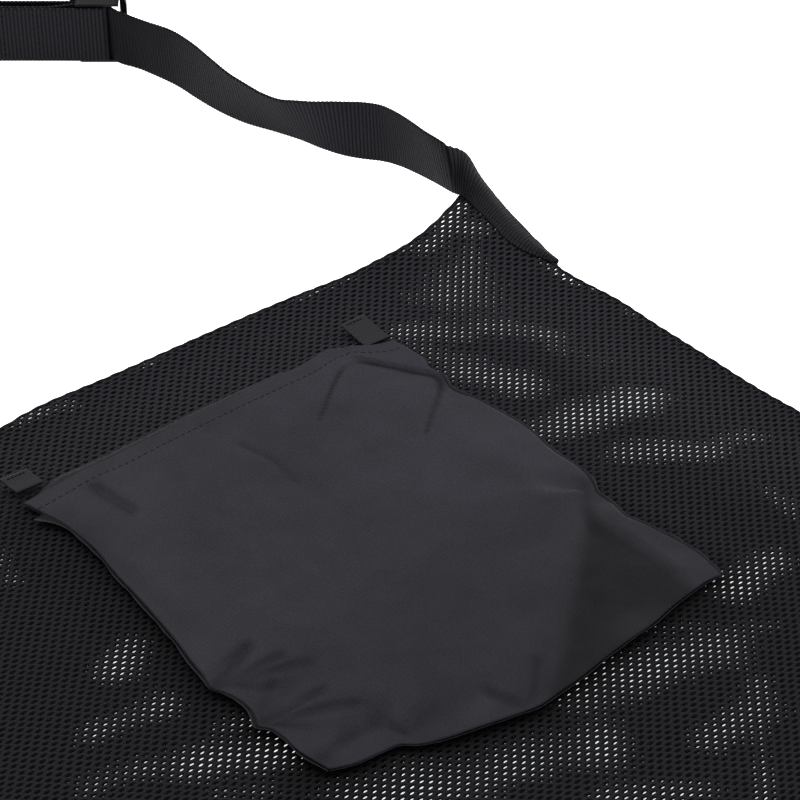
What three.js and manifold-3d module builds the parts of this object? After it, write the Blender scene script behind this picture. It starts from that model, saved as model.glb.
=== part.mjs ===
// Mesh ball bag, lying flat and empty, with a webbing shoulder strap and a loose accessory pouch.
// Millimetres. +X runs across the bag, +Y from the mouth to the bottom seam, +Z up from the floor.
import * as THREE from 'three';
import { mergeVertices } from 'three/addons/utils/BufferGeometryUtils.js';
import Module from 'manifold-3d';

const wasm = await Module();
wasm.setup();

// ---- Driving dimensions -------------------------------------------------------------------------

const GAP = 0.3; // clearance kept between neighbouring pieces

const BAG = {
  width: 420,
  length: 560,
  sheet: 1, // thickness of one mesh panel
  seam: 5, // width of the sewn edge
  edge: 2.3, // height of the bag at its sewn edges
  full: 9.8, // height of the bag once it is clear of its edges
  ramp: 45, // how far in from an edge it takes to reach full height
};
// Places where the strap holds the edge of the bag off the floor.
const LIFTED = [{ x: -210, y: 280, height: 9, reach: 38 }];

const CASING = {
  width: 22,
  height: 4.2,
  wall: 0.5,
  split: 28, // gap in the front where the drawcord comes out
  inset: 8, // how far its ends stay inside the bag's edges
  joinShare: 0.6, // where the net joins it, as a share of its height
};
const CORD = {
  diameter: 2.2,
  spacing: 5.2,
  knot: 4.2,
  knotY: -203,
  height: 15.3,
  backRun: [60, 140], // distances from the middle of points along the back casing
  frontRun: [150, 90, 40, 20],
  turn: 3.8, // how far past the casing's end it turns over
  atEnd: [1.5, 0.5, -8, -16, -24, -32], // points by the casing's end, from outside it to inside
  exit: [ // as it climbs out at the middle: x, y from the casing's middle, drop below the full height
    [10, 0.5, 4.1],
    [4.2, 5, 2.4],
    [2.6, 12, 0.8],
    [2.6, 20, 0],
  ],
};
const LOCK = {
  y: -233,
  closedEnd: -12,
  openEnd: 9,
  depth: 10,
  height: 8,
  wall: 1.5,
  bore: 3.1,
  stem: 2.8,
  head: 3.6,
  headLength: 3,
  travel: 3,
  slotHeight: 3.4,
  corner: 2,
  eyeWall: 1.2, // what the plunger keeps beyond its eye
  play: 0.4, // what is left between head and body when it is pressed
  wire: 0.3, // radius of the spring's wire
  coil: 2.2, // radius of the spring
  turns: 3,
};

const WEBBING = { width: 30, thickness: 1.3 };
const SLIDER = {
  centre: [-417.4, 248.5],
  heading: 48, // degrees from +X
  lean: 10, // degrees that its top leans forward
  lift: 0.9,
  length: 26,
  rail: 1.4,
  bar: 3,
  corner: 4.5,
  back: 4.3, // how far the end bars reach behind the running strap
  front: 4.55,
  centreBar: [2.55, 4.55],
  base: 0.2,
  loop: 48, // length of the sewn loop
  // How the running strap comes in over the end bar: along, out of the face, lean.
  entry: [
    [8.4, 6.3, 7],
    [6.3, 3.5, 5],
    [4.4, 0.9, 8],
    [2.2, 0, 10],
    [0, 0, 10],
  ],
  tail: 125, // free end of the running strap beyond the slider
  hem: 22, // folded end of that tail
};
const WRAP = { start: -213.7, end: -149, flap: 16 };
const PATCH = { start: -213, end: -152, near: -222, far: -252 };

const POUCH = {
  width: 178,
  depth: 198,
  centre: [-50.8, 85.2],
  turn: -4.8, // degrees about Z
  sheet: 0.8,
  base: 10.1,
  edge: 12.1,
  full: 16.1, // underside of the front panel once it is clear of the edges
  ramp: 30,
  hem: 7,
  hemSheet: 1.6,
  backLip: 5, // how far the back of the mouth stands past the front
  seam: 3,
};
const TAB = { width: 12, lengths: { left: 8, right: 13 }, sheet: 1, inset: 1 };

// Lower edge of the running strap from the bag's corner to the slider: x, y, z, and how many
// degrees the webbing leans to the left of its run.
const STRAP_LOWER = [
  [-214, 279, 8.4, 16],
  [-225, 280, 7, 15],
  [-237.5, 281.4, 5.2, 12],
  [-250, 282, 3.4, 9],
  [-260, 280.9, 1.8, 6],
  [-268.5, 277.2, 0.7, 5],
  [-277, 273.3, 0.4, 10],
  [-288, 270.2, 0.4, 20],
  [-300, 268.2, 0.4, 28],
  [-313, 264.4, 0.4, 27],
  [-327, 259.6, 0.4, 19],
  [-342, 257.4, 0.4, 11],
  [-357, 257.2, 0.4, 6],
  [-373, 257.9, 0.4, 6],
  [-388, 256.5, 0.4, 9.5],
  [-398, 254.6, 0.5, 10],
  [-404.8, 251.2, 1.1, 8],
];
// Lower edge of the upper strap after its straight start, on to the mouth of the bag.
const STRAP_UPPER_LOOP = [
  [-522, 121, 0.4, 2],
  [-537, 84, 0.4, 4],
  [-541, 44, 0.4, 6],
  [-533, 2, 0.4, 8],
  [-514, -40, 0.4, 8],
  [-486, -82, 0.4, 6],
  [-450, -121, 0.4, 4],
  [-410, -155, 0.4, 2],
  [-368, -183, 0.4, -4],
  [-330, -203, 0.4, -18],
  [-295, -215, 0.5, -42],
  [-262, -221, 1.4, -70],
  [-236, -222, 3.1, -86],
  [-214, -222, 3.6, -90],
];

const COLOURS = {
  mesh: 0x1f1f24,
  webbing: 0x222226,
  nylon: 0x3c3a42,
  ribbon: 0x2a2a2f,
  cord: 0x1b1b1e,
  plastic: 0x141416,
  steel: 0x9a9ca0,
};

// ---- Small tools --------------------------------------------------------------------------------

const bag = new THREE.Group();
const v3 = (x, y, z) => new THREE.Vector3(x, y, z);
const mix = THREE.MathUtils.lerp;
const smooth = (t) => THREE.MathUtils.smoothstep(t, 0, 1);
const radians = THREE.MathUtils.degToRad;

function add(name, geometry, colour, parent = bag) {
  const metal = colour === 'steel';
  const material = new THREE.MeshStandardMaterial({
    color: COLOURS[colour],
    roughness: metal ? 0.35 : colour === 'plastic' ? 0.5 : 0.85,
    metalness: metal ? 1 : 0,
  });
  const mesh = new THREE.Mesh(geometry, material);
  mesh.name = name;
  parent.add(mesh);
  return mesh;
}

// Turns the faces of a closed geometry to point out.
function facingOut(geometry) {
  const p = geometry.getAttribute('position');
  const index = geometry.index.array;
  const [a, b, c] = [v3(), v3(), v3()];
  let volume = 0;
  for (let i = 0; i < index.length; i += 3) {
    a.fromBufferAttribute(p, index[i]);
    b.fromBufferAttribute(p, index[i + 1]);
    c.fromBufferAttribute(p, index[i + 2]);
    volume += a.dot(b.cross(c));
  }
  if (volume < 0) {
    for (let i = 0; i < index.length; i += 3) {
      [index[i + 1], index[i + 2]] = [index[i + 2], index[i + 1]];
    }
  }
  return geometry;
}

// A closed sheet between two faces, each a function of u and v from 0 to 1.
function sheet(across, along, top, bottom) {
  const points = [];
  for (const face of [top, bottom]) {
    for (let j = 0; j <= along; j++) {
      for (let i = 0; i <= across; i++) points.push(face(i / across, j / along));
    }
  }
  const perFace = (across + 1) * (along + 1);
  const at = (i, j, k) => k * perFace + j * (across + 1) + i;
  const index = [];
  const quad = (a, b, c, d) => index.push(a, b, c, a, c, d);
  for (let j = 0; j < along; j++) {
    for (let i = 0; i < across; i++) {
      quad(at(i, j, 0), at(i + 1, j, 0), at(i + 1, j + 1, 0), at(i, j + 1, 0));
      quad(at(i, j, 1), at(i, j + 1, 1), at(i + 1, j + 1, 1), at(i + 1, j, 1));
    }
  }
  for (let i = 0; i < across; i++) {
    quad(at(i, 0, 0), at(i, 0, 1), at(i + 1, 0, 1), at(i + 1, 0, 0));
    quad(at(i, along, 0), at(i + 1, along, 0), at(i + 1, along, 1), at(i, along, 1));
  }
  for (let j = 0; j < along; j++) {
    quad(at(0, j, 0), at(0, j + 1, 0), at(0, j + 1, 1), at(0, j, 1));
    quad(at(across, j, 0), at(across, j, 1), at(across, j + 1, 1), at(across, j + 1, 0));
  }
  return facingOut(new THREE.BufferGeometry().setFromPoints(points).setIndex(index));
}

// A sheet over a rectangle of the floor, from height low(x, y) to height high(x, y), with its
// points closer together towards the edges, where it bends.
function layer([x0, x1], [y0, y1], across, along, low, high) {
  const closer = (t) => (1 - Math.cos(Math.PI * t)) / 2;
  const point = (height) => (u, v) => {
    const [x, y] = [mix(x0, x1, closer(u)), mix(y0, y1, closer(v))];
    return v3(x, y, height(x, y));
  };
  return sheet(across, along, point(high), point(low));
}

function solid(geometry) {
  const bare = new THREE.BufferGeometry().setAttribute('position', geometry.getAttribute('position'));
  if (geometry.index) bare.setIndex(geometry.index);
  const merged = mergeVertices(bare, 1e-4);
  return new wasm.Manifold(
    new wasm.Mesh({
      numProp: 3,
      vertProperties: merged.getAttribute('position').array,
      triVerts: new Uint32Array(merged.index.array),
    }),
  );
}

function geometryOf(manifold) {
  const mesh = manifold.getMesh();
  return new THREE.BufferGeometry()
    .setAttribute('position', new THREE.BufferAttribute(new Float32Array(mesh.vertProperties), 3))
    .setIndex(new THREE.BufferAttribute(new Uint32Array(mesh.triVerts), 1));
}

const cut = (body, ...tools) => geometryOf(tools.reduce((s, t) => s.subtract(solid(t)), solid(body)));
const join = (...bodies) => geometryOf(bodies.slice(1).reduce((s, b) => s.add(solid(b)), solid(bodies[0])));

function box([x0, x1], [y0, y1], [z0, z1]) {
  return new THREE.BoxGeometry(x1 - x0, y1 - y0, z1 - z0).translate(
    (x0 + x1) / 2,
    (y0 + y1) / 2,
    (z0 + z1) / 2,
  );
}

// A rod along X.
function rod(radius, x0, x1, sides = 16) {
  return new THREE.CylinderGeometry(radius, radius, x1 - x0, sides)
    .rotateZ(-Math.PI / 2)
    .translate((x0 + x1) / 2, 0, 0);
}

// A closed round cord through the points, with two rings of vertices for each of them.
function cordThrough(points, radius, sides = 8) {
  const line = new THREE.CatmullRomCurve3(points, false, 'centripetal');
  const rings = 2 * (points.length - 1);
  const positions = [];
  const index = [];
  const toSide = v3(1, 0, 0); // the first stretch runs along Y
  let before = line.getTangent(0);
  for (let i = 0; i <= rings; i++) {
    const run = line.getTangent(i / rings);
    toSide.applyQuaternion(new THREE.Quaternion().setFromUnitVectors(before, run));
    before = run;
    const up = new THREE.Vector3().crossVectors(run, toSide).normalize();
    const across = new THREE.Vector3().crossVectors(up, run);
    for (let k = 0; k < sides; k++) {
      const angle = (2 * Math.PI * k) / sides;
      const point = line.getPoint(i / rings).addScaledVector(across, radius * Math.cos(angle));
      positions.push(point.addScaledVector(up, radius * Math.sin(angle)));
    }
  }
  for (let i = 0; i < rings; i++) {
    for (let k = 0; k < sides; k++) {
      const [a, b] = [i * sides + k, i * sides + ((k + 1) % sides)];
      index.push(a, b, b + sides, a, b + sides, a + sides);
    }
  }
  const last = rings * sides;
  for (let k = 1; k < sides - 1; k++) index.push(0, k + 1, k, last, last + k, last + k + 1);
  return facingOut(new THREE.BufferGeometry().setFromPoints(positions).setIndex(index));
}

// ---- The bag's height above the floor -----------------------------------------------------------

const HALF = BAG.width / 2;
const MOUTH = -BAG.length / 2;
const BOTTOM = BAG.length / 2;
const CASING_END = MOUTH + CASING.width;

function lift(x, y) {
  const bump = (s) => s.height * Math.exp(-((x - s.x) ** 2 + (y - s.y) ** 2) / (2 * s.reach ** 2));
  return LIFTED.reduce((sum, s) => sum + bump(s), 0);
}

// Underside of the front casing: down on the back one at the sides, and raised in between.
function casingRise(x) {
  const closed = CASING.height + GAP;
  const open = 2 * CASING.height + GAP;
  return mix(closed, open, smooth((HALF - Math.abs(x)) / BAG.ramp)) + lift(x, MOUTH);
}

// Outer face of the front mesh panel.
function frontHeight(x, y) {
  const fromEdge = Math.min(HALF - Math.abs(x), BOTTOM - y) - BAG.seam;
  const domed = mix(BAG.edge, BAG.full, smooth(fromEdge / BAG.ramp)) + lift(x, y);
  const atCasing = casingRise(x) + CASING.height * CASING.joinShare;
  return mix(atCasing, domed, smooth((y - CASING_END) / BAG.ramp));
}

// ---- Mesh panels and their sewn edges -----------------------------------------------------------

function meshPanels() {
  const inner = HALF - BAG.seam - GAP;
  const spanX = [-inner, inner];
  const spanY = [CASING_END + GAP, BOTTOM - BAG.seam - GAP];
  add('back_mesh_panel', layer(spanX, spanY, 18, 24, lift, (x, y) => lift(x, y) + BAG.sheet), 'mesh');
  const under = (x, y) => frontHeight(x, y) - BAG.sheet;
  add('front_mesh_panel', layer(spanX, spanY, 18, 24, under, frontHeight), 'mesh');
}

function sewnEdges() {
  const high = (x, y) => lift(x, y) + BAG.edge;
  const side = [CASING_END + GAP, BOTTOM];
  const inner = HALF - BAG.seam;
  add('side_seam_left', layer([-HALF, -inner], side, 1, 24, lift, high), 'mesh');
  add('side_seam_right', layer([inner, HALF], side, 1, 6, lift, high), 'mesh');
  const across = [-inner + GAP, inner - GAP];
  add('bottom_seam', layer(across, [BOTTOM - BAG.seam, BOTTOM], 20, 1, lift, high), 'mesh');
}

// ---- The mouth: hemmed casings, drawcord and cord lock ------------------------------------------

// A hem with a channel through it from end to end.
function casing([x0, x1], rise) {
  const steps = 20;
  const { width, height, wall } = CASING;
  const shell = layer([x0, x1], [MOUTH, MOUTH + width], steps, 1, rise, (x) => rise(x) + height);
  const channel = layer(
    [x0 - 1, x1 + 1],
    [MOUTH + wall, MOUTH + width - wall],
    steps,
    1,
    (x) => rise(THREE.MathUtils.clamp(x, x0, x1)) + wall,
    (x) => rise(THREE.MathUtils.clamp(x, x0, x1)) + height - wall,
  );
  return cut(shell, channel);
}

function mouth() {
  const end = HALF - CASING.inset;
  const split = CASING.split / 2;
  add('mouth_casing_back', casing([-end, end], (x) => lift(x, MOUTH)), 'mesh');
  add('mouth_casing_front_left', casing([-end, -split], casingRise), 'mesh');
  add('mouth_casing_front_right', casing([split, end], casingRise), 'mesh');
}

// One half of the drawcord, from the back casing round the side and out at the middle of the front.
function drawcordHalf(side) {
  const y = MOUTH + CASING.width / 2;
  const end = HALF - CASING.inset;
  const middle = CASING.height / 2;
  const inBack = (x) => v3(side * x, y, middle);
  const inFront = (x) => v3(side * x, y, casingRise(Math.min(x, end)) + middle);
  const byEnd = CORD.atEnd.map((x) => end + x);
  const last = v3((side * CORD.spacing) / 2, CORD.knotY - CORD.knot - GAP, CORD.height);
  const beforeLast = v3(last.x, LOCK.y + LOCK.depth - GAP, CORD.height);
  return [
    ...[...CORD.backRun, end - 12, byEnd[1], byEnd[0]].map(inBack),
    v3(side * (end + CORD.turn), y, CASING.height + middle / 2),
    ...[...byEnd, ...CORD.frontRun].map(inFront),
    ...CORD.exit.map(([x, ahead, below]) => v3(side * x, y + ahead, CORD.height - below)),
    beforeLast,
    last,
  ];
}

function drawcord() {
  const path = [...drawcordHalf(-1).reverse(), ...drawcordHalf(1)];
  add('drawcord', cordThrough(path, CORD.diameter / 2), 'cord');
  const knot = new THREE.SphereGeometry(CORD.knot, 12, 8).translate(0, CORD.knotY, CORD.height);
  add('drawcord_knot', knot, 'cord');
}

function cordLock() {
  const lock = new THREE.Group();
  lock.position.set(0, LOCK.y, CORD.height);
  bag.add(lock);
  const { closedEnd, openEnd, wall, travel } = LOCK;
  const reach = (CORD.spacing + CORD.diameter) / 2 + GAP; // half the width that the two cords take
  const through = [-LOCK.depth, LOCK.depth];

  const barrel = new THREE.ExtrudeGeometry(roundedFrame(LOCK.depth, LOCK.height, LOCK.corner), {
    depth: openEnd - closedEnd,
    bevelEnabled: false,
    curveSegments: 4,
  })
    .rotateX(Math.PI / 2)
    .rotateZ(Math.PI / 2)
    .translate(closedEnd, 0, 0);
  const bore = rod(LOCK.bore, closedEnd + wall, openEnd + 1);
  const window = box([-reach - 0.1, reach + 0.1], through, [-LOCK.slotHeight / 2, LOCK.slotHeight / 2]);
  add('cord_lock_body', cut(barrel, bore, window), 'plastic', lock);

  const inner = -reach - LOCK.eyeWall;
  const headAt = openEnd + travel + LOCK.play;
  const stem = rod(LOCK.stem, inner, headAt + 0.5);
  const head = rod(LOCK.head, headAt, headAt + LOCK.headLength);
  const eye = box([-reach, reach + travel], through, [-LOCK.slotHeight / 2, LOCK.slotHeight / 2]);
  add('cord_lock_plunger', cut(join(stem, head), eye), 'plastic', lock);

  const { wire, turns } = LOCK;
  const from = closedEnd + wall + GAP + wire;
  const to = inner - GAP - wire;
  const coil = new THREE.Curve();
  coil.getPoint = (t) => {
    const angle = 2 * Math.PI * turns * t;
    return v3(mix(from, to, t), LOCK.coil * Math.cos(angle), LOCK.coil * Math.sin(angle));
  };
  const round = new THREE.Shape().absarc(0, 0, wire, 0, 2 * Math.PI);
  const spring = new THREE.ExtrudeGeometry(round, { steps: 36, curveSegments: 3, extrudePath: coil });
  add('cord_lock_spring', geometryOf(solid(spring)), 'steel', lock);
}

// ---- Webbing ------------------------------------------------------------------------------------

const heading = radians(SLIDER.heading);
const along = v3(Math.cos(heading), Math.sin(heading), 0); // towards the bag
const facing = v3(Math.sin(heading), -Math.cos(heading), 0); // towards the front of the slider
const webbingBase = SLIDER.base + SLIDER.rail + GAP;

// A point by the slider: s along the strap, n out of its face, h up its face.
const lean = radians(SLIDER.lean);
function bySlider(s, n, h) {
  const forward = n * Math.cos(lean) + h * Math.sin(lean);
  const height = h * Math.cos(lean) - n * Math.sin(lean) + SLIDER.lift;
  const [x, y] = SLIDER.centre;
  return v3(x, y, height).addScaledVector(along, s).addScaledVector(facing, forward);
}

// Webbing that stands on edge along a smooth line of [x, y, z, lean in degrees].
function standingWebbing(route, steps) {
  const line = new THREE.CatmullRomCurve3(route.map(([x, y, z]) => v3(x, y, z)), false, 'centripetal');
  const tilts = new THREE.SplineCurve(route.map(([, , , degrees], i) => new THREE.Vector2(i, degrees)));
  const face = (side) => (u, v) => {
    const run = line.getTangent(u);
    const left = v3(-run.y, run.x, 0).normalize();
    const tilt = radians(tilts.getPoint(u).y);
    const up = v3(0, 0, Math.cos(tilt)).addScaledVector(left, Math.sin(tilt));
    const out = new THREE.Vector3().crossVectors(run, up).normalize();
    return line
      .getPoint(u)
      .addScaledVector(up, v * WEBBING.width)
      .addScaledVector(out, (side * WEBBING.thickness) / 2);
  };
  return sheet(steps, 1, face(1), face(-1));
}

function runningStrap() {
  const tail = [-20, -50, -85, -SLIDER.tail].map((s) => [s, 0, SLIDER.lean]);
  const straight = [...SLIDER.entry, ...tail].map(([s, n, tilt]) => {
    const p = bySlider(s, n, webbingBase);
    return [p.x, p.y, p.z, tilt];
  });
  add('strap_lower', standingWebbing([...STRAP_LOWER, ...straight], 76), 'webbing');
  const s0 = -SLIDER.tail;
  const depth = WEBBING.thickness;
  const hem = new THREE.BoxGeometry(SLIDER.hem, depth, WEBBING.width).rotateX(lean).rotateZ(heading);
  const middle = bySlider(s0 + SLIDER.hem / 2, -depth - GAP, webbingBase + WEBBING.width / 2);
  add('strap_tail_hem', hem.translate(middle.x, middle.y, middle.z), 'webbing');
}

const LOOP_FRONT = SLIDER.centreBar[1] + GAP + WEBBING.thickness / 2;
const LOOP_BACK = SLIDER.centreBar[0] - GAP - WEBBING.thickness / 2;

// The sewn loop of the upper strap: in front of the centre bar, round it, and back behind.
function sliderLoop() {
  const half = WEBBING.thickness / 2;
  const middle = (LOOP_FRONT + LOOP_BACK) / 2;
  const radius = (LOOP_FRONT - LOOP_BACK) / 2;
  const turn = SLIDER.bar / 2 + GAP;
  const sewn = LOOP_FRONT - WEBBING.thickness - GAP; // the back layer once it lies on the front one
  const flat = new THREE.Shape().moveTo(-SLIDER.loop, LOOP_FRONT + half);
  flat.lineTo(turn, LOOP_FRONT + half);
  flat.absarc(turn, middle, radius + half, Math.PI / 2, -Math.PI / 2, true);
  flat.lineTo(-9, LOOP_BACK - half);
  flat.lineTo(-22, sewn - half);
  flat.lineTo(-SLIDER.loop + 4, sewn - half);
  flat.lineTo(-SLIDER.loop + 4, sewn + half);
  flat.lineTo(-22, sewn + half);
  flat.lineTo(-9, LOOP_BACK + half);
  flat.lineTo(turn, LOOP_BACK + half);
  flat.absarc(turn, middle, radius - half, -Math.PI / 2, Math.PI / 2, false);
  flat.lineTo(-SLIDER.loop, LOOP_FRONT - half);
  flat.closePath();
  return new THREE.ExtrudeGeometry(flat, { depth: WEBBING.width, bevelEnabled: false, curveSegments: 6 });
}

// Rounded rectangle about the origin, for the slider's frame.
function roundedFrame(width, height, radius) {
  const [w, h] = [width / 2 - radius, height / 2 - radius];
  const shape = new THREE.Shape().moveTo(-w, -h - radius);
  shape.absarc(w, -h, radius, -Math.PI / 2, 0);
  shape.absarc(w, h, radius, 0, Math.PI / 2);
  shape.absarc(-w, h, radius, Math.PI / 2, Math.PI);
  shape.absarc(-w, -h, radius, Math.PI, 1.5 * Math.PI);
  return shape;
}

// End bars behind the running strap, a raised centre bar in front of it, and two rails.
function sliderFrame() {
  const { length, rail, bar, corner, back, front, centreBar } = SLIDER;
  const opening = WEBBING.width + 2 * GAP;
  const height = opening + 2 * rail;
  const plate = (shape, n0, n1) => {
    const options = { depth: n1 - n0, bevelEnabled: false, curveSegments: 5 };
    return new THREE.ExtrudeGeometry(shape, options).translate(0, 0, n0);
  };
  const hole = (w) => box([-w / 2, w / 2], [-opening / 2, opening / 2], [-20, 20]);
  const ends = cut(plate(roundedFrame(length, height, corner), -back, -1.1), hole(length - 2 * bar));
  const rails = cut(plate(roundedFrame(length - 6, height, 2), -back, front), hole(length));
  const centre = box([-bar / 2, bar / 2], [-height / 2 + 1, height / 2 - 1], centreBar);
  return join(ends, rails, centre);
}

function slider() {
  const place = new THREE.Group();
  place.position.copy(bySlider(0, 0, 0));
  place.rotation.set(lean, 0, heading, 'ZYX');
  bag.add(place);
  // Drawn with s across, z up and n out of the page, then stood up.
  const frame = add('strap_slider', sliderFrame(), 'plastic', place);
  frame.rotation.x = Math.PI / 2;
  frame.position.z = webbingBase + WEBBING.width / 2;
  const loop = add('slider_loop', sliderLoop(), 'webbing', place);
  loop.rotation.x = Math.PI;
  loop.position.z = webbingBase + WEBBING.width;
}

function upperStrap() {
  const straight = [-SLIDER.loop - GAP, -70, -100, -135].map((s, i) => {
    const p = bySlider(s, LOOP_FRONT, mix(webbingBase, 0.5, smooth(i / 2)));
    return [p.x, p.y, p.z, mix(SLIDER.lean, STRAP_UPPER_LOOP[0][3], smooth((i - 1) / 4))];
  });
  add('strap_upper', standingWebbing([...straight, ...STRAP_UPPER_LOOP], 78), 'webbing');
  const low = (x, y) => frontHeight(Math.max(x, -HALF), y) + GAP + 0.1;
  const high = (x, y) => low(x, y) + WEBBING.thickness;
  const patch = layer([PATCH.start, PATCH.end], [PATCH.far, PATCH.near], 10, 4, low, high);
  add('strap_mouth_patch', patch, 'webbing');
}

// The strap's lower end, folded lengthwise over the bottom seam.
function cornerWrap() {
  const depth = WEBBING.thickness;
  const fold = BOTTOM + GAP;
  const inner = BOTTOM - WRAP.flap;
  const gap = 2 * GAP;
  const above = (x) => frontHeight(Math.max(x, -HALF), inner) + gap;
  const seamTop = (x) => lift(x, BOTTOM) + BAG.edge + gap;
  const under = (x) => lift(x, BOTTOM) - gap;
  const underInner = (x) => lift(x, inner) - gap;
  // Outline of the fold at x, in y and z: round the outside, then back along the inside.
  const outline = (x) => [
    [inner, above(x) + depth],
    [BOTTOM - BAG.seam, Math.max(seamTop(x), mix(seamTop(x), above(x), 0.3)) + depth],
    [fold + depth, seamTop(x) + depth / 2],
    [fold + depth, under(x) - depth / 2],
    [BOTTOM - BAG.seam, under(x) - depth],
    [inner, underInner(x) - depth],
    [inner, underInner(x)],
    [BOTTOM - BAG.seam, under(x)],
    [fold, under(x)],
    [fold, seamTop(x)],
    [BOTTOM - BAG.seam, Math.max(seamTop(x), mix(seamTop(x), above(x), 0.3))],
    [inner, above(x)],
  ];
  const steps = 10;
  const points = [];
  const index = [];
  for (let i = 0; i <= steps; i++) {
    const x = mix(WRAP.start, WRAP.end, i / steps);
    for (const [y, z] of outline(x)) points.push(v3(x, y, z));
  }
  const count = outline(0).length;
  for (let i = 0; i < steps; i++) {
    for (let k = 0; k < count; k++) {
      const [a, b] = [i * count + k, i * count + ((k + 1) % count)];
      index.push(a, b, b + count, a, b + count, a + count);
    }
  }
  const last = steps * count;
  for (let k = 0; k < count / 2 - 1; k++) {
    const [a, b, c, d] = [k, k + 1, count - 2 - k, count - 1 - k];
    index.push(a, c, b, a, d, c);
    index.push(last + a, last + b, last + c, last + a, last + c, last + d);
  }
  const wrap = new THREE.BufferGeometry().setFromPoints(points).setIndex(index);
  add('strap_corner_wrap', facingOut(wrap), 'webbing');
}

// ---- Accessory pouch ----------------------------------------------------------------------------

// Drawn with x from the mouth to the bottom and y along the mouth, about the middle of the mouth.
function pouch() {
  const place = new THREE.Group();
  const turn = radians(POUCH.turn);
  const half = POUCH.depth / 2;
  place.position.set(
    POUCH.centre[0] - half * Math.cos(turn),
    POUCH.centre[1] - half * Math.sin(turn),
    0,
  );
  place.rotation.z = turn;
  bag.add(place);

  const side = POUCH.width / 2;
  const { base, depth, sheet: thick, hem, hemSheet, backLip, seam, edge, full } = POUCH;
  const flat = (z) => () => z;
  const back = base + thick;

  const panelX = [hem - backLip + GAP, depth];
  add('pouch_back_panel', layer(panelX, [-side, side], 2, 2, flat(base), flat(back)), 'nylon', place);
  const backHemX = [-backLip, hem - backLip];
  const backHem = layer(backHemX, [-side, side], 1, 2, flat(base), flat(base + hemSheet));
  add('pouch_back_hem', backHem, 'nylon', place);

  // Underside of the front panel, open at the mouth and closed on the other three sides.
  const crown = (x, y) => mix(edge, full, smooth(Math.min(side - Math.abs(y), depth - x) / POUCH.ramp));
  const over = (x, y) => crown(x, y) + thick;
  const front = layer([hem + GAP, depth], [-side, side], 12, 14, crown, over);
  add('pouch_front_panel', front, 'nylon', place);
  const hemTop = (x, y) => crown(x, y) + hemSheet;
  add('pouch_front_hem', layer([0, hem], [-side, side], 1, 14, crown, hemTop), 'nylon', place);

  const [low, high] = [back + GAP, edge - GAP];
  const sideX = [hem + GAP, depth];
  const strip = (y0, y1) => layer(sideX, [y0, y1], 1, 1, flat(low), flat(high));
  add('pouch_seam_left', strip(-side, -side + seam), 'nylon', place);
  add('pouch_seam_right', strip(side - seam, side), 'nylon', place);
  const across = [-side + seam + GAP, side - seam - GAP];
  const bottomSeam = layer([depth - seam, depth], across, 1, 1, flat(low), flat(high));
  add('pouch_seam_bottom', bottomSeam, 'nylon', place);

  ribbonTabs(place, side);
}

// Ribbon tabs that tie the ends of the pouch's mouth down to the mesh, each with its row of stitches.
function ribbonTabs(place, side) {
  const near = -POUCH.backLip - GAP;
  const base = POUCH.base;
  for (const [name, sign] of [['left', -1], ['right', 1]]) {
    const far = near - TAB.lengths[name];
    const edges = [sign * (side - TAB.inset), sign * (side - TAB.inset - TAB.width)].sort((a, b) => a - b);
    const tab = layer([far, near], edges, 4, 1, () => base, () => base + TAB.sheet);
    add(`ribbon_tab_${name}`, tab, 'ribbon', place);
    const rows = [edges[0] + 1, edges[1] - 1];
    const top = base + TAB.sheet + GAP;
    add(`tab_bartack_${name}`, box([far + 1, far + 3], rows, [top, top + 0.6]), 'ribbon', place);
  }
}

meshPanels();
sewnEdges();
mouth();
drawcord();
cordLock();
runningStrap();
slider();
upperStrap();
cornerWrap();
pouch();

export default bag;
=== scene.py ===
"""Mesh ball bag lying flat: webbing shoulder strap, knitted net, drawcord mouth and a loose satin pouch."""
import math
import bpy
import numpy as np
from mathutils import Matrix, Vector, noise


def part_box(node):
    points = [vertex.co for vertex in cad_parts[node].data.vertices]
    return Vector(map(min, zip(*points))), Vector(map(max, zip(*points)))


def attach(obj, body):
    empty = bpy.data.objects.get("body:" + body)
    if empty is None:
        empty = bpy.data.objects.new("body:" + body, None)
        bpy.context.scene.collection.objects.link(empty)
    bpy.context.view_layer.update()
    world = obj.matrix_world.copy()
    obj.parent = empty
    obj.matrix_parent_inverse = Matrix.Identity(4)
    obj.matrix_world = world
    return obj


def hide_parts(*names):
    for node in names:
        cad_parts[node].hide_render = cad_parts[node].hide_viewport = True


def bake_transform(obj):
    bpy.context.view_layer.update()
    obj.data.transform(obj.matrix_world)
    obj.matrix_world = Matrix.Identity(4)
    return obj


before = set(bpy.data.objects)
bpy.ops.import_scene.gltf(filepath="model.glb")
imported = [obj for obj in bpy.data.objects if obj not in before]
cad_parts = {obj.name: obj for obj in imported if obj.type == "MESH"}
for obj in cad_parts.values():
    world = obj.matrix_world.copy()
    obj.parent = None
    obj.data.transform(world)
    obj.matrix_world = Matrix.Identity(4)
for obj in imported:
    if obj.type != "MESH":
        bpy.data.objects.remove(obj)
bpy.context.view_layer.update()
MM = 0.001
UP = np.array([0, 0, 1.0])

# ---- Camera -------------------------------------------------------------------------------------

AIM = np.array([-120.43, 165.13, 0.0])
ELEVATION, AZIMUTH, FOV = 34.5, 48.0, 12.5
DISTANCE = 1443.7
el, az = math.radians(ELEVATION), math.radians(AZIMUTH)
EYE = AIM + DISTANCE * np.array([math.sin(az) * math.cos(el), -math.cos(az) * math.cos(el), math.sin(el)])
cam_data = bpy.data.cameras.new("camera")
cam_data.sensor_width = 36
cam_data.lens = 18 / math.tan(math.radians(FOV / 2))
camera = bpy.data.objects.new("camera", cam_data)
camera.location = Vector(EYE * MM)
camera.rotation_euler = (math.radians(90 - ELEVATION), 0, az)
bpy.context.scene.collection.objects.link(camera)
bpy.context.scene.camera = camera

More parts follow.
